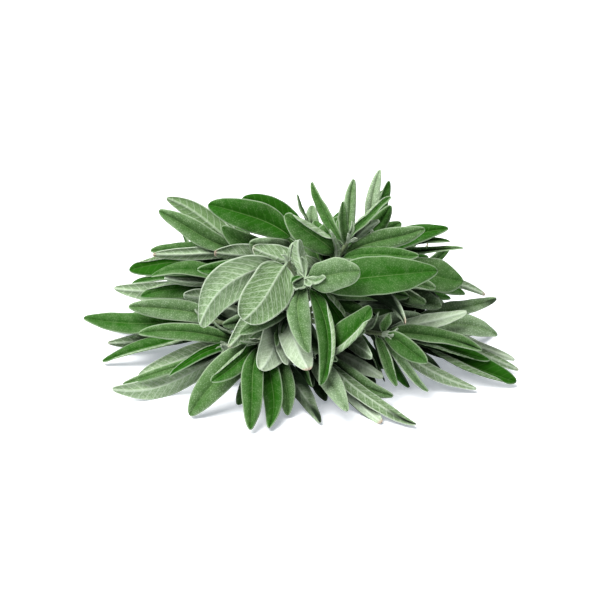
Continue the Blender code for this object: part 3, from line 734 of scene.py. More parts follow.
def tube_triangles(points, radius, sides=6):
    """A plain tube round these points, for the clearance test only."""
    corners, faces = [], []
    for i, p in enumerate(points):
        heading = (points[min(i + 1, len(points) - 1)] - points[max(i - 1, 0)]).normalized()
        across = heading.orthogonal().normalized() * radius
        for k in range(sides):
            corners.append(p + Matrix.Rotation(2 * math.pi * k / sides, 3, heading) @ across)
    for i in range(len(points) - 1):
        for k in range(sides):
            a, b = i * sides + k, i * sides + (k + 1) % sides
            faces += [(a, b, b + sides), (a, b + sides, a + sides)]
    return corners, faces


leaves = lay_heap()
print("laid", sum(len(group) for group in leaves.values()), "leaves")

# %% [markdown]
# ## A tapering stem
# A stem is a curve with a round bevel whose radius shrinks from point to point. Converting
# it gives a tube with loose caps, and merging doubles welds them on. A plain tube of the
# woody stem also tells where the mound lies in the frame: its far corner is compared with
# that of the stem's node.

# %% Tubes
MAIN_STEPS = 24
PLAIN_ROUNDING, SHOOT_ROUNDING, MAIN_ROUNDING = 2, 3, 8  # bevel steps of a round section
WELD = 0.00001  # metres


def deselect():
    if bpy.context.object and bpy.context.object.mode != "OBJECT":
        bpy.ops.object.mode_set(mode="OBJECT")
    bpy.ops.object.select_all(action="DESELECT")


def select_only(*objects):
    """Selects these and makes the first one active."""
    deselect()
    for obj in objects:
        obj.select_set(True)
    bpy.context.view_layer.objects.active = objects[0]


def tube(name, points, radii, rounding):
    """A closed tapering tube through these points, as a mesh."""
    deselect()
    bpy.ops.curve.primitive_nurbs_path_add(location=(0, 0, 0))
    guide = bpy.context.object
    guide.name = name
    guide.data.splines.clear()
    spline = guide.data.splines.new("POLY")
    spline.points.add(len(points) - 1)
    for knot, point, radius in zip(spline.points, points, radii):
        knot.co = (*(point * MM), 1.0)
        knot.radius = radius
    guide.data.bevel_depth = MM
    guide.data.bevel_resolution = rounding
    guide.data.use_fill_caps = True
    bpy.ops.object.convert(target="MESH")
    stem = bpy.context.object
    bpy.ops.object.mode_set(mode="EDIT")
    bpy.ops.mesh.select_all(action="SELECT")
    bpy.ops.mesh.remove_doubles(threshold=WELD)
    bpy.ops.mesh.normals_make_consistent(inside=False)
    bpy.ops.object.mode_set(mode="OBJECT")
    return stem


main_shares = [k / MAIN_STEPS for k in range(MAIN_STEPS + 1)]
main_points = [along_main(share) for share in main_shares]
main_radii = [mix(MAIN_STEM_RADIUS, MAIN_TIP_RADIUS, share) for share in main_shares]
guide = tube("guide", main_points, main_radii, PLAIN_ROUNDING)
corner = Vector(max(v.co[k] for v in guide.data.vertices) for k in range(3))
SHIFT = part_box("main_stem")[1] - corner
bpy.data.objects.remove(guide)
print("the mound is moved by", [round(v * 1000, 2) for v in SHIFT], "mm")

# %% [markdown]
# ## The blade that all leaves are copied from
# One flat blade is modelled once: a grid whose columns crowd towards the margins and whose
# rows crowd towards both ends, where the form changes most. Its first UV map keeps where
# each point is on the leaf: across from margin to margin, and along from stalk to tip.
# Every leaf is a copy with a mesh of its own, laid on its own curve. The young leaves are
# small and many, so they are copied from a coarser blade.

# %% Model the flat blade
COLUMNS, ROWS = 18, 44
YOUNG_COLUMNS, YOUNG_ROWS = 8, 16
CROWD_ACROSS, CROWD_ALONG = 0.35, 0.3  # how much the columns and rows crowd: 0 is evenly


def crowded(x, share):
    """The place from -1 to 1, drawn towards the ends by this share."""
    return math.sin(x * math.pi / 2) * share + x * (1 - share)


def flat_blade(name, columns, rows):
    deselect()
    bpy.ops.mesh.primitive_grid_add(x_subdivisions=columns, y_subdivisions=rows, size=2, calc_uvs=True)
    blade = bpy.context.object
    blade.name = name
    for vert in blade.data.vertices:
        x, y = vert.co.x, vert.co.y
        vert.co.x = math.copysign(crowded(abs(x), CROWD_ACROSS), x)
        vert.co.y = (crowded(y, CROWD_ALONG) + 1) / 2
    coords = {v.index: v.co.copy() for v in blade.data.vertices}
    uv = blade.data.uv_layers[0]
    uv.name = "blade"
    for loop in blade.data.loops:
        at = coords[loop.vertex_index]
        uv.data[loop.index].uv = ((at.x + 1) / 2, at.y)
    for extra in ("grain", "veins"):
        blade.data.uv_layers.new(name=extra)
    for number in ("tone", "open_above", "open_below"):
        blade.data.attributes.new(number, "FLOAT", "POINT")
    return blade


blade = flat_blade("sage_blade", COLUMNS, ROWS)
young_blade = flat_blade("young_blade", YOUNG_COLUMNS, YOUNG_ROWS)
print("the blade has", len(blade.data.polygons), "faces, the young one", len(young_blade.data.polygons))

# %% [markdown]
# ## Relief: midrib, side veins and wavy margins
# On sage the midrib and the side veins are sunk into the upper side and stand out below.
# The margin is felted, a little uneven, and rolls down. All of it is worked out in
# millimetres from where a point is on the blade, for all points of a leaf at once. Side
# veins leave the midrib at a slant and bend towards the tip, which is a phase that grows
# along the leaf and falls off to the side.

# %% Relief of a blade
THICKNESS = 0.55
VEIN_SPACING = 5.2
LEAST_VEINS = 5.0
VEIN_SLANT, VEIN_BEND = 0.75, 0.035  # how far forward a vein runs for its way out
VEIN_DEPTH = 0.17
MIDRIB_DEPTH, MIDRIB_WIDTH = 0.55, 0.7
MIDRIB_FADE = 0.7  # how much of its depth is gone at the tip
PILLOW = 0.8  # how high each half is puffed up
MARGIN_DROP = 0.6  # how far the margin rolls down
FULL_RELIEF, FULL_DROP = 6, 4  # half-widths from which a blade has all of its relief


def midrib_points(leaf, s):
    """The midrib's place at every s, in millimetres."""
    lift = (leaf.up * leaf.bow + leaf.side * leaf.sweep) * leaf.length
    a, d = leaf.base, leaf.tip
    curl = leaf.up * leaf.curl * leaf.length
    b, c = mix(a, d, EARLY_PULL) + lift - curl, mix(a, d, LATE_PULL) + lift + curl
    s = s[:, None]
    a, b, c, d = (np.array(p) for p in (a, b, c, d))
    return a * (1 - s) ** 3 + 3 * b * s * (1 - s) ** 2 + 3 * c * s**2 * (1 - s) + d * s**3


def unit(rows):
    return rows / np.linalg.norm(rows, axis=1, keepdims=True)


def vein_phase(u, s, reach, length):
    """Whole numbers on the side veins: they slant forward and bend towards the tip."""
    x = np.abs(u) * reach
    veins = max(LEAST_VEINS, length / VEIN_SPACING)
    return veins * (s - (VEIN_SLANT * x + VEIN_BEND * x**2) / length)


def relief(u, s, reach, phase, wave):
    """How far a point stands above the smooth blade, in millimetres, up the leaf's upper side."""
    x, half = u * reach, np.sign(u)
    midrib = -MIDRIB_DEPTH * np.exp(-((x / MIDRIB_WIDTH) ** 2)) * (1 - MIDRIB_FADE * s)
    arch, broad = np.sin(np.pi * np.clip(np.abs(u), 0, 1)), np.clip(reach / FULL_RELIEF, 0, 1)
    pillow = PILLOW * arch * broad
    vein = VEIN_DEPTH * np.cos(2 * np.pi * phase) * (broad * arch)
    rolled = -MARGIN_DROP * np.abs(u) ** 5 * np.clip(reach / FULL_DROP, 0, 1)
    deep, start, fast = wave
    # two waves that never keep step look less regular than one
    slow_frill = np.sin(start + fast * s + half)
    quick_frill = 0.5 * np.sin(2.3 * fast * s - start + 2 * half)
    frill = slow_frill + quick_frill
    return midrib + pillow - vein + rolled + deep * np.abs(u) ** 2.5 * reach * frill


print("side veins every", VEIN_SPACING, "mm, blades", THICKNESS, "mm thick")

# %% [markdown]
# ## Margins that have rolled over
# On about one leaf in four a margin has dried a little and rolled up over the blade, so
# that a strip of the pale underside shows along it. Across such a leaf, the outer part of
# one half leaves the plane of the blade, runs round a tight bend and then lies flat again.

# %% Cross-section of a blade
ROLLED_SHARE = 0.28
ROLL_STARTS, ROLL_BLENDS = 0.5, 0.15  # shares of the half-width
ROLL_GROWS, ROLL_FADES = (0.1, 0.4), (0.8, 1.0)  # shares of the length
LEAST_ROLL, MOST_ROLL, SET_ROLL = 1.8, 2.9, 2.7  # radians
LEAST_ROLLED_WIDTH = 7
BEND_RADIUS = 0.7
# Leaves whose rolled half is listed, by shoot and number: -1 or 1, and 0 for neither.
ROLLED = {
    "leader": {0: 0, 1: 0, 2: 0, 3: -1, 4: -1},
    "crown_front": {0: 0, 1: 0},
    "middle": {0: 0},
    "front_right": {6: 1},
    "upper_left": {3: 1},
    "back_mid": {0: 0},
}


def smooth_step(x, low, high):
    t = np.clip((x - low) / (high - low), 0, 1)
    return t * t * (3 - 2 * t)


def roll_for(leaf, rng, set_half=None):
    """Which half of the leaf is rolled, and through how many radians: mostly none."""
    half, angle, chance = rng.choice((-1, 1)), rng.uniform(LEAST_ROLL, MOST_ROLL), rng.random()
    if set_half is not None:
        return set_half, SET_ROLL
    if chance < ROLLED_SHARE and leaf.width > LEAST_ROLLED_WIDTH:
        return half, angle
    return 0, 0.0


def roll_along(s):
    """How much of its roll a margin has at s: all of it half way, and none at the ends."""
    return smooth_step(s, *ROLL_GROWS) * (1 - smooth_step(s, *ROLL_FADES))


def rolled_part(u, s, roll):
    """1 where the underside has turned up to the light, and 0 on the plain blade."""
    return roll_along(s) * smooth_step(u * roll[0], ROLL_STARTS, ROLL_STARTS + ROLL_BLENDS)


def cross_section(u, s, reach, fold, roll):
    """How far each point is to the side of the midrib and above it."""
    half, angle = roll
    flat = np.abs(u) * reach
    rise = np.zeros_like(flat)
    turn = angle * roll_along(s)
    start = ROLL_STARTS * reach
    bent = np.minimum(np.maximum(flat - start, 0) / BEND_RADIUS, turn)
    flap = np.maximum(flat - start - BEND_RADIUS * turn, 0)
    rolled = (u * half > 0) & (flat > start)
    rise[rolled] = (BEND_RADIUS * (1 - np.cos(bent)) + flap * np.sin(bent))[rolled]
    flat[rolled] = (start + BEND_RADIUS * np.sin(bent) + flap * np.cos(bent))[rolled]
    aside = flat * math.cos(fold) - rise * math.sin(fold)
    return np.sign(u) * aside, flat * math.sin(fold) + rise * math.cos(fold)


print("about", round(ROLLED_SHARE * sum(len(group) for group in leaves.values())), "leaves are rolled")

# %% [markdown]
# ## How open each leaf lies
# Deep between its neighbours a leaf hardly gets any light, and its lower parts are dark.
# From a few points on both faces of every leaf, rays are sent out to all sides. The share
# that gets away is how open the leaf lies there, and the paint darkens it by that. The
# plain sheets that the leaves were laid with are enough to catch the rays.

# %% Measure the openness
RAYS = 14
RAY_REACH = 45.0
RAY_LIFT = 1.0  # how far above the sheet a ray sets out
OPEN_ALONG, OPEN_ACROSS = 7, 3
OPEN_SPAN = 1.4  # how much of a blade the points cover, which is 2 wide


def sky_rays():
    """Directions spread evenly over half a ball round +Z, crowding towards its top."""
    rays = []
    for k in range(RAYS):
        height = math.sqrt((k + 0.5) / RAYS)
        spin = k * math.pi * (3 - math.sqrt(5))
        flat = math.sqrt(1 - height**2)
        rays.append(Vector((flat * math.cos(spin), flat * math.sin(spin), height)))
    return rays


def openness(tree, point, normal, rays):
    turned = normal.to_track_quat("Z", "Y").to_matrix()
    start = point + normal * RAY_LIFT
    free = 0
    for ray in rays:
        way = turned @ ray
        blocked = way.z < 0 and start.z / -way.z < RAY_REACH
        if not blocked and tree.ray_cast(start, way, RAY_REACH)[0] is None:
            free += 1
    return free / len(rays)


def leaf_openness(leaf, tree, rays):
    """Two grids of openness, above and below: a row for each step along the leaf."""
    above, below = [], []
    for i in range(OPEN_ALONG):
        s = (i + 0.5) / OPEN_ALONG
        for j in range(OPEN_ACROSS):
            u = OPEN_SPAN * (j / (OPEN_ACROSS - 1) - 0.5)
            point = leaf.point(s, u)
            aside, onward = leaf.point(s, u + 0.1) - point, leaf.point(s + 0.02, u) - point
            normal = aside.cross(onward).normalized()
            above.append(openness(tree, point, normal, rays))
            below.append(openness(tree, point, -normal, rays))
    grids = [np.array(side).reshape(OPEN_ALONG, OPEN_ACROSS) for side in (above, below)]
    return [evened(grid) for grid in grids]


def evened(grid):
    """Each row with some of the rows before and after it, so that no single ray shows."""
    before, after = np.vstack([grid[:1], grid[:-1]]), np.vstack([grid[1:], grid[-1:]])
    return 0.5 * grid + 0.25 * (before + after)


def spread_over(grid, s, u):
    """The grid's numbers at every point of the blade, with even slopes between."""
    along = np.clip(s * OPEN_ALONG - 0.5, 0, OPEN_ALONG - 1)
    across = np.clip((u / OPEN_SPAN + 0.5) * (OPEN_ACROSS - 1), 0, OPEN_ACROSS - 1)
    i = np.minimum(along.astype(int), OPEN_ALONG - 2)
    j = np.minimum(across.astype(int), OPEN_ACROSS - 2)
    a, b = along - i, across - j
    near = grid[i, j] * (1 - b) + grid[i, j + 1] * b
    far = grid[i + 1, j] * (1 - b) + grid[i + 1, j + 1] * b
    return near * (1 - a) + far * a


everything = Heap()
for group in leaves.values():
    for leaf in group:
        everything.add("all", *sheets(leaf, BLADE_THICKNESS))
light_catcher = everything.tree(["all"])
rays = sky_rays()
test_leaf = leaves["crown_front"][0]
print("openness of a front leaf, below:", leaf_openness(test_leaf, light_catcher, rays)[1].mean().round(2))

# %% [markdown]
# ## How dusty each leaf is, with painted light and shade
# Some sage leaves are almost bare, and others so full of hairs that they look grey. Each
# leaf has one number for it: 0 is bare and green, 1 is dusty, and a few lie beyond. It is
# near its shoot's number unless the table of single leaves sets it. The tones in that table
# are partly painted light and shade: a leaf that lies in shade is set lower and darker, and
# one that catches the light higher and paler. One number on every leaf is enough, because
# both of its materials can read it.

# %% Tones
TONE_SPREAD = 0.3
YOUNG_TONE = 1.4
SHOOT_TONES = {
    "crown_right": 0.5,
    "crown_back": 0.45,
    "crown_left": 0.35,
    "crown_front": 0.6,
    "leader": 0.5,
    "middle": 0.7,
    "front": 0.5,
    "front_right": 0.6,
    "right_low": 0.5,
    "right_front": 0.4,
    "right_mid": 0.5,
    "upper_left": 0.5,
    "left_mid": 0.4,
    "left_low": 0.6,
    "left_front": 0.5,
}
OTHER_TONE = 0.4
# Tones of single leaves, which also paint light and shade: lower and darker for a leaf in shade, higher
# and paler for one in the light.
LEAF_TONES_AND_PAINTED_LIGHT = {
    "crown_right": {1: 0.8, 3: 0.4, 5: 0.4, 9: 0.1, 10: 0.3},
    "crown_back": {0: 1.3, 4: 0.15, 6: 0.6},
    "crown_left": {0: 0.2, 1: 0.9, 2: 0.25},
    "crown_front": {0: 0.0, 1: 0.2, 2: 0.1},
    "leader": {0: 0.75, 1: 0.3, 2: 0.75, 3: 0.3, 4: 0.0, 5: 0.8, 7: 0.3, 10: 0.5},
    "middle": {0: 1.2, 1: 1.0, 2: 1.4},
    "front": {0: 0.35, 1: 0.2, 2: 0.6, 3: 0.3, 5: 0.55},
    "front_right": {0: 1.2, 1: 0.05, 2: 1.1, 4: 1.3, 6: 0.3},
    "right_low": {0: 0.0, 1: 1.0, 2: 1.0, 3: 0.1, 4: 0.95},
    "right_front": {0: 0.4, 1: 0.8, 2: 0.5, 4: 1.0, 5: 0.55, 6: 0.1, 7: 0.3, 9: 1.3, 12: 0.0},
    "upper_left": {0: -0.4, 1: 0.6, 3: 0.0},
    "left_mid": {2: 0.7, 4: 0.3},
    "left_low": {0: 0.35, 1: 0.75, 2: 0.1, 3: 0.3, 7: 1.0},
    "left_front": {0: 0.5, 1: 0.5, 4: -0.2},
    "back_mid": {0: 0.0, 9: 1.0},
    "right_mid": {2: 0.8, 3: 0.7, 6: 0.9},
}


def tone_for(name, k, rng):
    """How dusty leaf k of a shoot is; for leaves set in the table, partly painted light and shade."""
    about = SHOOT_TONES.get(name, OTHER_TONE) + TONE_SPREAD * (rng.random() - 0.5)
    return LEAF_TONES_AND_PAINTED_LIGHT.get(name, {}).get(k, about)


print(sum(len(tones) for tones in LEAF_TONES_AND_PAINTED_LIGHT.values()), "leaves have a tone of their own")

# %% [markdown]
# ## Laying a blade on its curve
# The flat blade is bent onto the leaf's curve: along the midrib, out by the cross-section
# and up by the relief. The grain map counts centimetres across and along the leaf, so the
# felt has one size on large and small leaves. All points of a blade are moved at once,
# because a loop over each of them would be slow.

# %% Lay one leaf
YOUNG_OPEN = 0.5  # white hairs let light through a tuft
OUTLINE_STEPS = 100  # at how many places the outline is worked out
HEADING_STEP = 0.01  # share of the length over which a heading is taken
GRAIN_UNIT = 10  # millimetres
# Waves along a leaf: the range of their height, and of how fast they run, in radians.
OUTLINE_WAVE = (0.03, 0.07), (6, 11)
MARGIN_WAVE = (0.02, 0.13), (7, 15)
BLADE_WAVE = (0.2, 0.7), (5, 9)
WAVE_STARTS = (0, 6)
SWAY, SWAY_WIDTH = 0.9, 5  # how far the blade wanders aside, and from which half-width


def number_on(mesh, name, values):
    mesh.attributes[name].data.foreach_set("value", values.astype(np.float32))


def drawn_wave(rng, heights, paces):
    """A wave's height, where it starts and how fast it runs."""
    return rng.uniform(*heights), rng.uniform(*WAVE_STARTS), rng.uniform(*paces)


def uneven_reach(leaf, u, s, rng):
    """Half the blade's width at every point, with an outline that is a little uneven."""
    widths = [leaf.half_width(k / OUTLINE_STEPS) for k in range(OUTLINE_STEPS + 1)]
    reach = np.interp(s, np.linspace(0, 1, OUTLINE_STEPS + 1), widths)
    deep, start, pace = drawn_wave(rng, *OUTLINE_WAVE)
    uneven = deep * np.sin(start + pace * s + 2 * np.sign(u))
    return reach * (1 + uneven * smooth_step(s, 0.1, 0.3))


def side_and_up(leaf, s):
    """Which way the blade's side and its upper face point at every s, with its twist."""
    ahead, behind = np.minimum(s + HEADING_STEP, 1), np.maximum(s - HEADING_STEP, 0)
    heading = unit(midrib_points(leaf, ahead) - midrib_points(leaf, behind))
    turn = (leaf.twist * (s - TWIST_FREE_AT))[:, None]
    plain = np.array(leaf.side)[None, :]
    along = (heading * plain).sum(axis=1, keepdims=True)
    side = plain * np.cos(turn) + np.cross(heading, plain) * np.sin(turn)
    side = side + heading * along * (1 - np.cos(turn))
    return side, np.cross(side, heading)


def write_uv(mesh, name, x, y):
    """Writes two numbers that every point has into a UV map."""
    point_of = np.empty(len(mesh.loops), np.int32)
    mesh.loops.foreach_get("vertex_index", point_of)
    pairs = np.stack([x, y], axis=1)[point_of]
    mesh.uv_layers[name].data.foreach_set("uv", pairs.astype(np.float32).ravel())


def lay_blade(master, leaf, name, tone, rng, set_half=None):
    """A copy of the flat blade, bent onto this leaf's form."""
    copy = master.copy()
    mesh = copy.data = master.data.copy()
    copy.name = name
    bpy.context.collection.objects.link(copy)
    flat = np.empty(len(mesh.vertices) * 3, np.float32)
    mesh.vertices.foreach_get("co", flat)
    u, s = (flat.reshape(-1, 3)[:, k].astype(float) for k in (0, 1))
    reach = uneven_reach(leaf, u, s, rng)
    side, up = side_and_up(leaf, s)
    phase = vein_phase(u, s, reach, leaf.length)
    wave = drawn_wave(rng, *MARGIN_WAVE)
    deep, start, pace = drawn_wave(rng, *BLADE_WAVE)
    ripple = deep * np.sin(start + pace * s) * np.sin(np.pi * s)
    roll = roll_for(leaf, rng, set_half)
    aside, above = cross_section(u, s, reach, leaf.fold, roll)
    height = above + relief(u, s, reach, phase, wave) + ripple
    sway = rng.uniform(-SWAY, SWAY) * np.sin(2 * np.pi * s) * np.clip(reach / SWAY_WIDTH, 0, 1)
    points = midrib_points(leaf, s) + side * (aside + sway)[:, None] + up * height[:, None]
    points = points * MM + np.array(SHIFT)
    mesh.vertices.foreach_set("co", points.astype(np.float32).ravel())
    write_uv(mesh, "grain", u * reach / GRAIN_UNIT, s * leaf.length / GRAIN_UNIT)
    write_uv(mesh, "veins", phase, np.abs(u))
    number_on(mesh, "tone", np.full(len(u), tone))
    grids = leaf_openness(leaf, light_catcher, rays)
    if master is young_blade:
        grids = [np.maximum(grid, YOUNG_OPEN) for grid in grids]
    open_above, open_below = (spread_over(grid, s, u) for grid in grids)
    # on a rolled strip the underside's painted shade follows the upper side's openness
    open_below += (open_above - open_below) * rolled_part(u, s, roll)
    number_on(mesh, "open_above", open_above)
    number_on(mesh, "open_below", open_below)
    return copy


print("a leaf is laid on its curve, with its tone and how open it lies")

# %% [markdown]
# ## Shoots
# A finished shoot is its leaves and its stem in one piece. The leaves are joined while
# they are still single sheets, and one Solidify modifier then gives them all their
# thickness, with a second material for the pale underside and the felted rim. Each shoot
# ends in a tuft of young leaves, which are folded up round its tip. A young leaf that
# would run through another shoot's blade stays shorter, or isn't there.

# %% Build the shoots
# How a tuft is drawn: a plain one, and the heart of the mound at the leader's tip.
YOUNG_LEAVES, HEART_LEAVES = 4, 7
YOUNG_LENGTH, HEART_LENGTH = (7, 14), (9, 14)
YOUNG_LEAN, HEART_LEAN = (0.25, 0.7), (0.8, 1.2)  # how far they lean out, from upright
YOUNG_WIDTH, HEART_WIDTH = 0.32, 0.62  # shares of the length
YOUNG_BOW, HEART_BOW = 0.1, -0.4
YOUNG_FOLD, YOUNG_TWIST, YOUNG_CURL = 0.6, 0.4, 0.1  # the first two in radians
YOUNG_SPIN = 25  # degrees by which they may stand off an even round
YOUNG_SUNK, YOUNG_OUT = 1.5, 0.3  # their feet: back from the shoot's tip, and out from it
HEART_OUT, HEART_STEP, HEART_FORWARD = 1, 0.8, 0.5  # the heart's feet, and how it faces out
YOUNG_ROOM = 4.0  # how thick a space a young leaf needs, with its waves
YOUNG_SHARES = (1.0, 0.8, 0.6, 0.45)  # the lengths at which it is tried

laid = Heap()
for name in SHOOTS:
    for leaf in leaves[name]:
        laid.add(name, *sheets(leaf, THICKNESS))


def young_leaves(name, rng):
    """The tuft at a shoot's tip. The leader's is the heart of the mound: fuller, and cupped."""
    line = shoot_line(name)
    tip, axis = bezier(line, 1.0), heading_at(line, 1.0)
    across = axis.orthogonal().normalized()
    heart = name == "leader"
    count = HEART_LEAVES if heart else YOUNG_LEAVES
    others = laid.tree([other for other in SHOOTS if other != name])
    tuft = []
    for k in range(count):
        spin = math.radians(360 / count * k + rng.uniform(-YOUNG_SPIN, YOUNG_SPIN))
        out = Matrix.Rotation(spin, 3, axis) @ across
        length = rng.uniform(*(HEART_LENGTH if heart else YOUNG_LENGTH))
        way = (axis + out * rng.uniform(*YOUNG_LEAN)).normalized()
        foot = tip - axis * YOUNG_SUNK + out * YOUNG_OUT
        width, bow = length * YOUNG_WIDTH, YOUNG_BOW
        if heart:
            way = (NEAR * HEART_FORWARD + out * rng.uniform(*HEART_LEAN)).normalized()
            foot = tip + NEAR * (HEART_OUT + k * HEART_STEP)
            width, bow = length * HEART_WIDTH, HEART_BOW
        twist = rng.uniform(-YOUNG_TWIST, YOUNG_TWIST)
        draw = (YOUNG_FOLD, twist, 0.0, YOUNG_CURL, FULLNESS)
        for share in YOUNG_SHARES:
            grown = Leaf(foot, foot + way * length * share, axis - out, width * share, bow, draw)
            if not BVHTree.FromPolygons(*sheets(grown, YOUNG_ROOM)).overlap(others):
                tuft.append(grown)
                break
    return tuft


def join(objects, name):
    select_only(*objects)
    bpy.ops.object.join()
    joined = bpy.context.object
    joined.name = name
    return joined


def thicken(piece):
    """Gives the sheets their thickness, with the underside and the rim in the next material."""
    thick = piece.modifiers.new("thickness", "SOLIDIFY")
    thick.thickness = THICKNESS * MM
    thick.offset = 0
    thick.material_offset = 1
    thick.material_offset_rim = 1
    select_only(piece)
    bpy.ops.object.modifier_apply(modifier=thick.name)


foliage = {}
for name in SHOOTS:
    sheets_laid = []
    for k, leaf in enumerate(leaves[name]):
        rng = random.Random(f"finish {name} {k}")
        tone, half = tone_for(name, k, rng), ROLLED.get(name, {}).get(k)
        sheets_laid.append(lay_blade(blade, leaf, f"{name}_leaf_{k}", tone, rng, half))
    rng = random.Random(f"young {name}")
    for leaf in young_leaves(name, rng):
        sheets_laid.append(lay_blade(young_blade, leaf, f"{name}_young", YOUNG_TONE, rng))
    foliage[name] = join(sheets_laid, f"{name}_foliage")
bpy.data.objects.remove(blade)
bpy.data.objects.remove(young_blade)
print("foliage on", len(foliage), "shoots")

# %% [markdown]
# ## Stems
# Green sage stems are thicker where a pair of leaves sits. They are four-sided with soft
# corners, but so thin and so deep in the leaves that a round tube does. The woody stem is
# round and cut off flat at the back, and the strips of its bark come with its material.

# %% Model the stems
STEM_STEPS = 40
KNUCKLES, KNUCKLE_HEIGHT, KNUCKLE_SHARPNESS = 6, 0.14, 6
BARK_CUTS = 2
BARK_SMOOTH = math.radians(50)  # edges sharper than this stay sharp, as at the cut end


def shoot_stem(name):
    line = shoot_line(name)
    points, radii = [], []
    for k in range(STEM_STEPS + 1):
        share = k / STEM_STEPS
        points.append(bezier(line, share))
        swelling = max(0.0, math.cos(share * 2 * math.pi * KNUCKLES)) ** KNUCKLE_SHARPNESS
        plain = mix(SHOOT_ROOT_RADIUS, SHOOT_TIP_RADIUS, share)
        radii.append(plain + KNUCKLE_HEIGHT * swelling)
    stem = tube(f"{name}_stem", points, radii, SHOOT_ROUNDING)
    for vert in stem.data.vertices:
        vert.co += SHIFT
    return stem


stems = {name: shoot_stem(name) for name in SHOOTS}

main_stem = tube("woody_stem", main_points, main_radii, MAIN_ROUNDING)
bpy.ops.object.mode_set(mode="EDIT")
bpy.ops.mesh.select_all(action="SELECT")
bpy.ops.mesh.subdivide(number_cuts=BARK_CUTS)
bpy.ops.object.mode_set(mode="OBJECT")
for vert in main_stem.data.vertices:
    vert.co += SHIFT
    vert.co.z = max(vert.co.z, 0.0)
select_only(main_stem)
bpy.ops.object.shade_smooth_by_angle(angle=BARK_SMOOTH)
print("stems:", len(stems), "and the woody one with", len(main_stem.data.polygons), "faces")

# %% [markdown]
# ## Writing materials as sums
# A material is easier to read as an expression than as a web of nodes. The small class
# below wraps a node's socket, so that adding or multiplying two of them adds the Math
# node for it.

# %% Sockets that can be added up
class Value:
    """One output socket, with arithmetic."""

    def __init__(self, paint, socket):
        self.paint = paint
        self.socket = socket

    def math(self, operation, *others):
        inputs = enumerate((self, *others))
        return self.paint.node("ShaderNodeMath", {"operation": operation}, inputs)

    def __add__(self, other):
        return self.math("ADD", other)

    def __sub__(self, other):
        return self.math("SUBTRACT", other)

    def __rsub__(self, other):
        return (self * -1.0).math("ADD", other)

    def __mul__(self, other):
        return self.math("MULTIPLY", other)

    def __abs__(self):
        return self.math("ABSOLUTE")

    __radd__ = __add__
    __rmul__ = __mul__

    def between(self, low, high):
        """0 below low, 1 above high, and an even slope between."""
        inputs = {"Value": self, "From Min": low, "From Max": high}
        return self.paint.node("ShaderNodeMapRange", {"clamp": True}, inputs)


print("sockets can be added, multiplied and limited")

# %% [markdown]
# ## A paint for each finish
# Every finish is one material under one Principled shader. What is the same all over a
# surface is set on the shader itself. Every node comes from one method, which sets the
# node's options first and then its sockets, and the other methods name what leaves, stems
# and bark share: maps, patterns, and coats of colour laid one over the other.

# %% Paints
SPECULAR = 0.08  # hairs and bark hardly shine
SHEEN_ROUGHNESS = 0.6
BUMP_STRENGTH = 0.6


class Paint:
    """A material under one Principled shader."""

    def __init__(self, name, roughness, sheen=0.0):
        self.material = bpy.data.materials.new(name)
        self.material.use_nodes = True
        self.tree = self.material.node_tree
        self.shader = self.tree.nodes["Principled BSDF"]
        self.set("Roughness", roughness)
        self.set("Specular IOR Level", SPECULAR)
        self.set("Sheen Weight", sheen)
        self.set("Sheen Roughness", SHEEN_ROUGHNESS)

    def set(self, socket, value):
        """One number or colour for the whole surface."""
        self.shader.inputs[socket].default_value = value

    def node(self, kind, settings=(), inputs=(), output=0):
        node = self.tree.nodes.new(kind)
        for key, value in dict(settings).items():
            setattr(node, key, value)
        for key, value in dict(inputs).items():
            if isinstance(value, Value):
                self.tree.links.new(value.socket, node.inputs[key])
            else:
                node.inputs[key].default_value = value
        return Value(self, node.outputs[output])

    def uv(self, name):
        """A UV map as it is, and its two numbers, each as a Value."""
        pair = self.node("ShaderNodeUVMap", {"uv_map": name})
        x, y = (self.node("ShaderNodeSeparateXYZ", inputs={0: pair}, output=k) for k in (0, 1))
        return pair, x, y

    def number(self, name):
        """The number that the leaves keep under this name."""
        return self.node("ShaderNodeAttribute", {"attribute_name": name}, output=2)

    def where(self):
        """Each point's own place, in metres."""
        return self.node("ShaderNodeTexCoord", output=3)

    def pair(self, x, y):
        return self.node("ShaderNodeCombineXYZ", inputs={0: x, 1: y})

    def mix(self, share, first, second):
        """From the first colour to the second."""
        settings = {"data_type": "RGBA"}
        return self.node("ShaderNodeMix", settings, {0: share, 6: first, 7: second}, output=2)

    def coats(self, colour, *coats):
        """The colour under these coats, which are laid on in turn: a share and a colour each."""
        for share, coat in coats:
            colour = self.mix(share, colour, coat)
        return colour

    def noise(self, where, scale, detail=3.0, roughness=0.55):
        inputs = {"Vector": where, "Scale": scale, "Detail": detail, "Roughness": roughness}
        return self.node("ShaderNodeTexNoise", inputs=inputs)

    def net(self, where, scale):
        """How far a point is from the edge of its cell: 0 on the net's cords."""
        settings = {"feature": "DISTANCE_TO_EDGE"}
        return self.node("ShaderNodeTexVoronoi", settings, {"Vector": where, "Scale": scale})

    def wandering(self, where, scale, reach):
        """The same places, each moved a little aside, so that a pattern is no longer even."""
        drift = self.node("ShaderNodeTexNoise", inputs={"Vector": where, "Scale": scale}, output=1)
        drift = self.vector("SUBTRACT", {0: drift, 1: (0.5, 0.5, 0.5)})
        drift = self.vector("SCALE", {0: drift, "Scale": reach * 4})
        return self.vector("ADD", {0: where, 1: drift})

    def vector(self, operation, inputs):
        return self.node("ShaderNodeVectorMath", {"operation": operation}, inputs)

    def finish(self, colour, height, depth_m):
        """The material, with its colour and its bumps."""
        inputs = {"Height": height, "Distance": depth_m, "Strength": BUMP_STRENGTH}
        bump = self.node("ShaderNodeBump", inputs=inputs)
        self.tree.links.new(colour.socket, self.shader.inputs["Base Color"])
        self.tree.links.new(bump.socket, self.shader.inputs["Normal"])
        return self.material


print("materials are written as expressions")
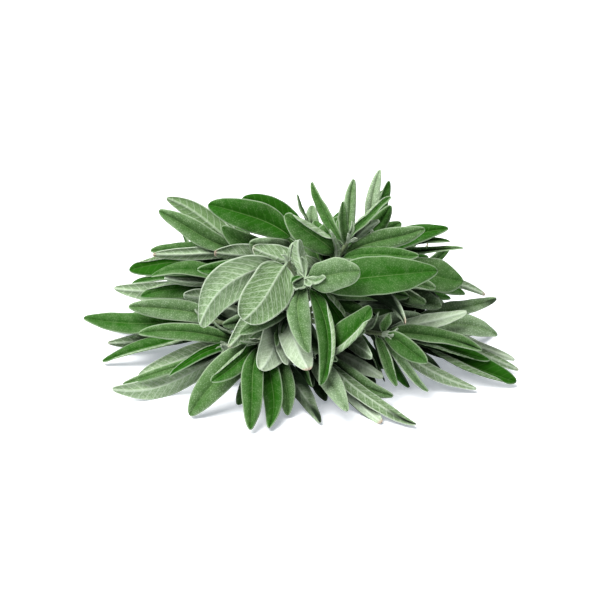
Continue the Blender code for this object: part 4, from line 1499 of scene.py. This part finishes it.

# %% [markdown]
# ## The felted upper side
# Sage is deep green above, dulled by short hairs: some leaves are nearly bare and bright,
# others dusty grey-green. The surface is pebbled between a fine net of sunk veins, and that
# net is painted darker as shade. The midrib is a thin pale line, and the very margin is white
# with hairs. What lies deep in the mound, by the openness measured above, is painted dark as
# shade.

# %% Upper side
# Painted shade: a leaf's colour goes towards this near-black green where it lies deep in the mound.
PAINTED_SHADE_GREEN = (0.002, 0.01, 0.0015, 1)
BARE_GREEN = (0.012, 0.088, 0.0, 1)
DULL_GREEN = (0.088, 0.172, 0.056, 1)
DUSTY_GREEN = (0.385, 0.485, 0.33, 1)
# Painted shade in the sunk net between the pebbles.
SUNK_NET_PAINTED_SHADE = (0.01, 0.045, 0.002, 1)
FELT_GREEN = (0.23, 0.34, 0.17, 1)
VEIN_GREEN = (0.14, 0.25, 0.08, 1)
MIDRIB_GREEN = (0.24, 0.36, 0.14, 1)
DOWNY_GREEN = (0.4, 0.5, 0.34, 1)
SHADE_SPAN = (0.14, 0.52)  # how open a leaf lies where it is darkest, and where it is clear
BUMP_ABOVE, BUMP_BELOW = 0.00025, 0.0003  # metres


def leaf_maps(paint):
    """What both sides of a leaf read: the grain map, how far to the side a point is in
    centimetres, the side veins' phase, the tone, how near it is to the margin and the tip."""
    _, across, along = paint.uv("blade")
    grain, x_cm, _ = paint.uv("grain")
    _, phase, _ = paint.uv("veins")
    return grain, x_cm, phase, paint.number("tone"), abs(across * 2.0 - 1.0), along


def on_veins(phase, edge):
    """1 on the side veins, which run where the phase is a whole number."""
    return abs(phase.math("FRACT") - 0.5).between(0.4, edge)


def painted_shade_in_the_deep(paint, colour, number):
    """Paints shade into a leaf's colour where the mound closes over it."""
    open_share = paint.number(number)
    return paint.mix((1.0 - open_share.between(*SHADE_SPAN)) * 0.98, colour, PAINTED_SHADE_GREEN)


def downy_margin(u, x_cm, felt):
    """1 on the margin's fringe of white hairs, which is as wide on a small leaf as on a large."""
    from_margin = abs(x_cm).math("DIVIDE", u) - abs(x_cm)
    return (1.0 - (from_margin + felt * 0.04).between(0.03, 0.11)) * u.between(0.3, 0.6)


def sage_upper():
    paint = Paint("sage_upper", 0.75)
    grain, x_cm, phase, tone, u, along = leaf_maps(paint)
    pebbles = paint.net(grain, 9.0).between(0.0, 0.3)
    blotches = paint.noise(grain, 1.6)
    felt = paint.noise(grain, 22.0, 4.0, 0.75)
    veined = on_veins(phase + blotches * 0.25, 0.5)
    dust = tone * 0.9 + blotches * 0.6 + felt * 0.3 + pebbles * 0.15 + u * 0.3 - 0.79
    midrib = (1.0 - abs(x_cm).between(0.01, 0.035)) * (1.0 - along * 0.8)
    green = paint.coats(
        BARE_GREEN,
        (dust.between(0.0, 0.4), DULL_GREEN),
        (dust.between(0.4, 1.3), DUSTY_GREEN),
        # painted shade in the sunk net between the pebbles
        ((1.0 - pebbles) * 0.4, SUNK_NET_PAINTED_SHADE),
        (felt.between(0.45, 0.8) * (0.03 + tone * 0.14), FELT_GREEN),
        (veined * 0.14, VEIN_GREEN),
        (midrib * 0.5, MIDRIB_GREEN),
        (downy_margin(u, x_cm, felt) * 0.55, DOWNY_GREEN),
    )
    height = pebbles * 0.7 + felt * 0.4 - veined * 0.5
    # painted shade where the mound closes over the upper side
    return paint.finish(painted_shade_in_the_deep(paint, green, "open_above"), height, BUMP_ABOVE)


upper_green = sage_upper()
print("made", upper_green.name)

# %% [markdown]
# ## The pale underside
# Below, the hairs are so dense that the leaf looks silvery. The midrib and the side veins
# are the palest, and a fine raised net lies between them with darker green pits. A few
# tips have dried to a pinkish brown.

# %% Underside
UNDER_DARK = (0.092, 0.175, 0.052, 1)
UNDER_GREEN = (0.25, 0.375, 0.19, 1)
UNDER_SILVER = (0.46, 0.575, 0.39, 1)
DARK_PIT, PALE_PIT = (0.05, 0.1, 0.03, 1), (0.22, 0.3, 0.16, 1)
NET_SILVER = (0.5, 0.6, 0.44, 1)
FELT_SILVER = (0.46, 0.56, 0.41, 1)
VEIN_SILVER = (0.52, 0.62, 0.46, 1)
CORD_SILVER = (0.56, 0.66, 0.5, 1)
RIM_SILVER = (0.55, 0.63, 0.5, 1)
DRIED_BROWN = (0.42, 0.26, 0.2, 1)


def sage_under():
    paint = Paint("sage_under", 0.85)
    grain, x_cm, phase, tone, u, along = leaf_maps(paint)
    along_veins = u * 7.5 - phase * 2.2
    pits = paint.net(paint.wandering(paint.pair(phase * 3.0, along_veins), 0.8, 0.1), 1.0)
    pits = pits.between(0.02, 0.17)
    fine_pits = paint.net(grain, 14.0).between(0.05, 0.3)
    felt = paint.noise(grain, 30.0, 4.0, 0.7)
    veined = on_veins(phase + paint.noise(grain, 1.8) * 0.2, 0.47)
    cord = 1.0 - abs(x_cm).between(0.03, 0.09)
    rim = (u + felt * 0.08).between(0.94, 1.04)
    chosen = (tone * 7.3).math("FRACT").between(0.72, 0.76)
    dried = (along + felt * 0.04).between(0.97, 1.01) * chosen
    pit = paint.mix(tone, DARK_PIT, PALE_PIT)
    silver = paint.coats(
        UNDER_DARK,
        (tone.between(0.0, 0.5), UNDER_GREEN),
        (tone.between(0.5, 1.0), UNDER_SILVER),
        (fine_pits * 0.3, pit),
        (pits * 0.35, pit),
        ((1.0 - pits) * (0.25 + tone * 0.45), NET_SILVER),
        (felt.between(0.4, 0.75) * 0.2, FELT_SILVER),
        (veined * (0.4 + tone * 0.4), VEIN_SILVER),
        (cord * (0.45 + tone * 0.4), CORD_SILVER),
        (rim * 0.6, RIM_SILVER),
        (dried * 0.7, DRIED_BROWN),
    )
    height = (1.0 - pits) * 0.8 + veined * 1.2 + felt * 0.4 + cord * 1.5
    # painted shade where the mound closes over the underside
    return paint.finish(painted_shade_in_the_deep(paint, silver, "open_below"), height, BUMP_BELOW)


pale_under = sage_under()
print("made", pale_under.name)

# %% [markdown]
# ## Stems
# Young stems are pale green and woolly. The woody stem is grey-brown, with bark that
# splits into long narrow strips.

# %% Stem finishes
YOUNG_STEM, OLD_STEM = (0.15, 0.22, 0.09, 1), (0.11, 0.15, 0.06, 1)
WOOL = (0.34, 0.41, 0.27, 1)
BROWN_BARK, GREY_BARK = (0.2, 0.14, 0.08, 1), (0.34, 0.28, 0.19, 1)
BARK_SPLIT = (0.1, 0.07, 0.04, 1)


def woolly_stem():
    paint = Paint("woolly_stem", 0.8, sheen=0.3)
    where = paint.where()
    wool = paint.noise(where, 900.0)
    patches = paint.noise(where, 70.0)
    green = paint.mix(patches.between(0.35, 0.65), YOUNG_STEM, OLD_STEM)
    green = paint.mix(wool.between(0.4, 0.7) * 0.4, green, WOOL)
    return paint.finish(green, wool, 0.0001)


def sage_bark():
    paint = Paint("sage_bark", 0.85)
    where = paint.where()
    strips = paint.node("ShaderNodeMapping", inputs={"Vector": where, "Scale": (1.0, 0.12, 0.3)})
    ridges = paint.noise(strips, 1400.0, 4.0)
    patches = paint.noise(where, 150.0)
    brown = paint.mix(patches.between(0.3, 0.7), BROWN_BARK, GREY_BARK)
    brown = paint.mix(ridges.between(0.35, 0.6), BARK_SPLIT, brown)
    return paint.finish(brown, ridges, 0.0004)


stem_green = woolly_stem()
bark = sage_bark()
print("made", stem_green.name, "and", bark.name)

# %% [markdown]
# ## Putting each shoot together
# A shoot's sheets get their thickness only now, when both leaf materials are on them, and
# its stem is joined on last, in a third material. The finished piece rides on the frame's
# one body and stands for its plain solid.

# %% Dress the shoots
for name, piece in foliage.items():
    piece.data.materials.clear()
    piece.data.materials.append(upper_green)
    piece.data.materials.append(pale_under)
    thicken(piece)
    stem = stems[name]
    stem.data.materials.append(stem_green)
    shoot = join([piece, stem], f"sage_{name}")
    for polygon in shoot.data.polygons:
        polygon.use_smooth = True
    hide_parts(f"shoot_{name}")
    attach(shoot, "root")

main_stem.data.materials.append(bark)
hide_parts("main_stem")
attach(main_stem, "root")
faces = sum(len(obj.data.polygons) for obj in bpy.data.objects if obj.name.startswith("sage_"))
print("faces in all shoots:", faces)

# %% [markdown]
# ## The white surface
# The floor is plain white paper, lit a little from within as on a light table, so that
# the shadows under the leaves stay faint and cool.

# %% Floor finish
paper = Paint("white_paper", 0.9)
paper.set("Base Color", (0.93, 0.93, 0.94, 1))
paper.set("Emission Color", (0.86, 0.93, 1.0, 1))
paper.set("Emission Strength", 0.36)
floor.data.materials.append(paper.material)
print("floor finished")
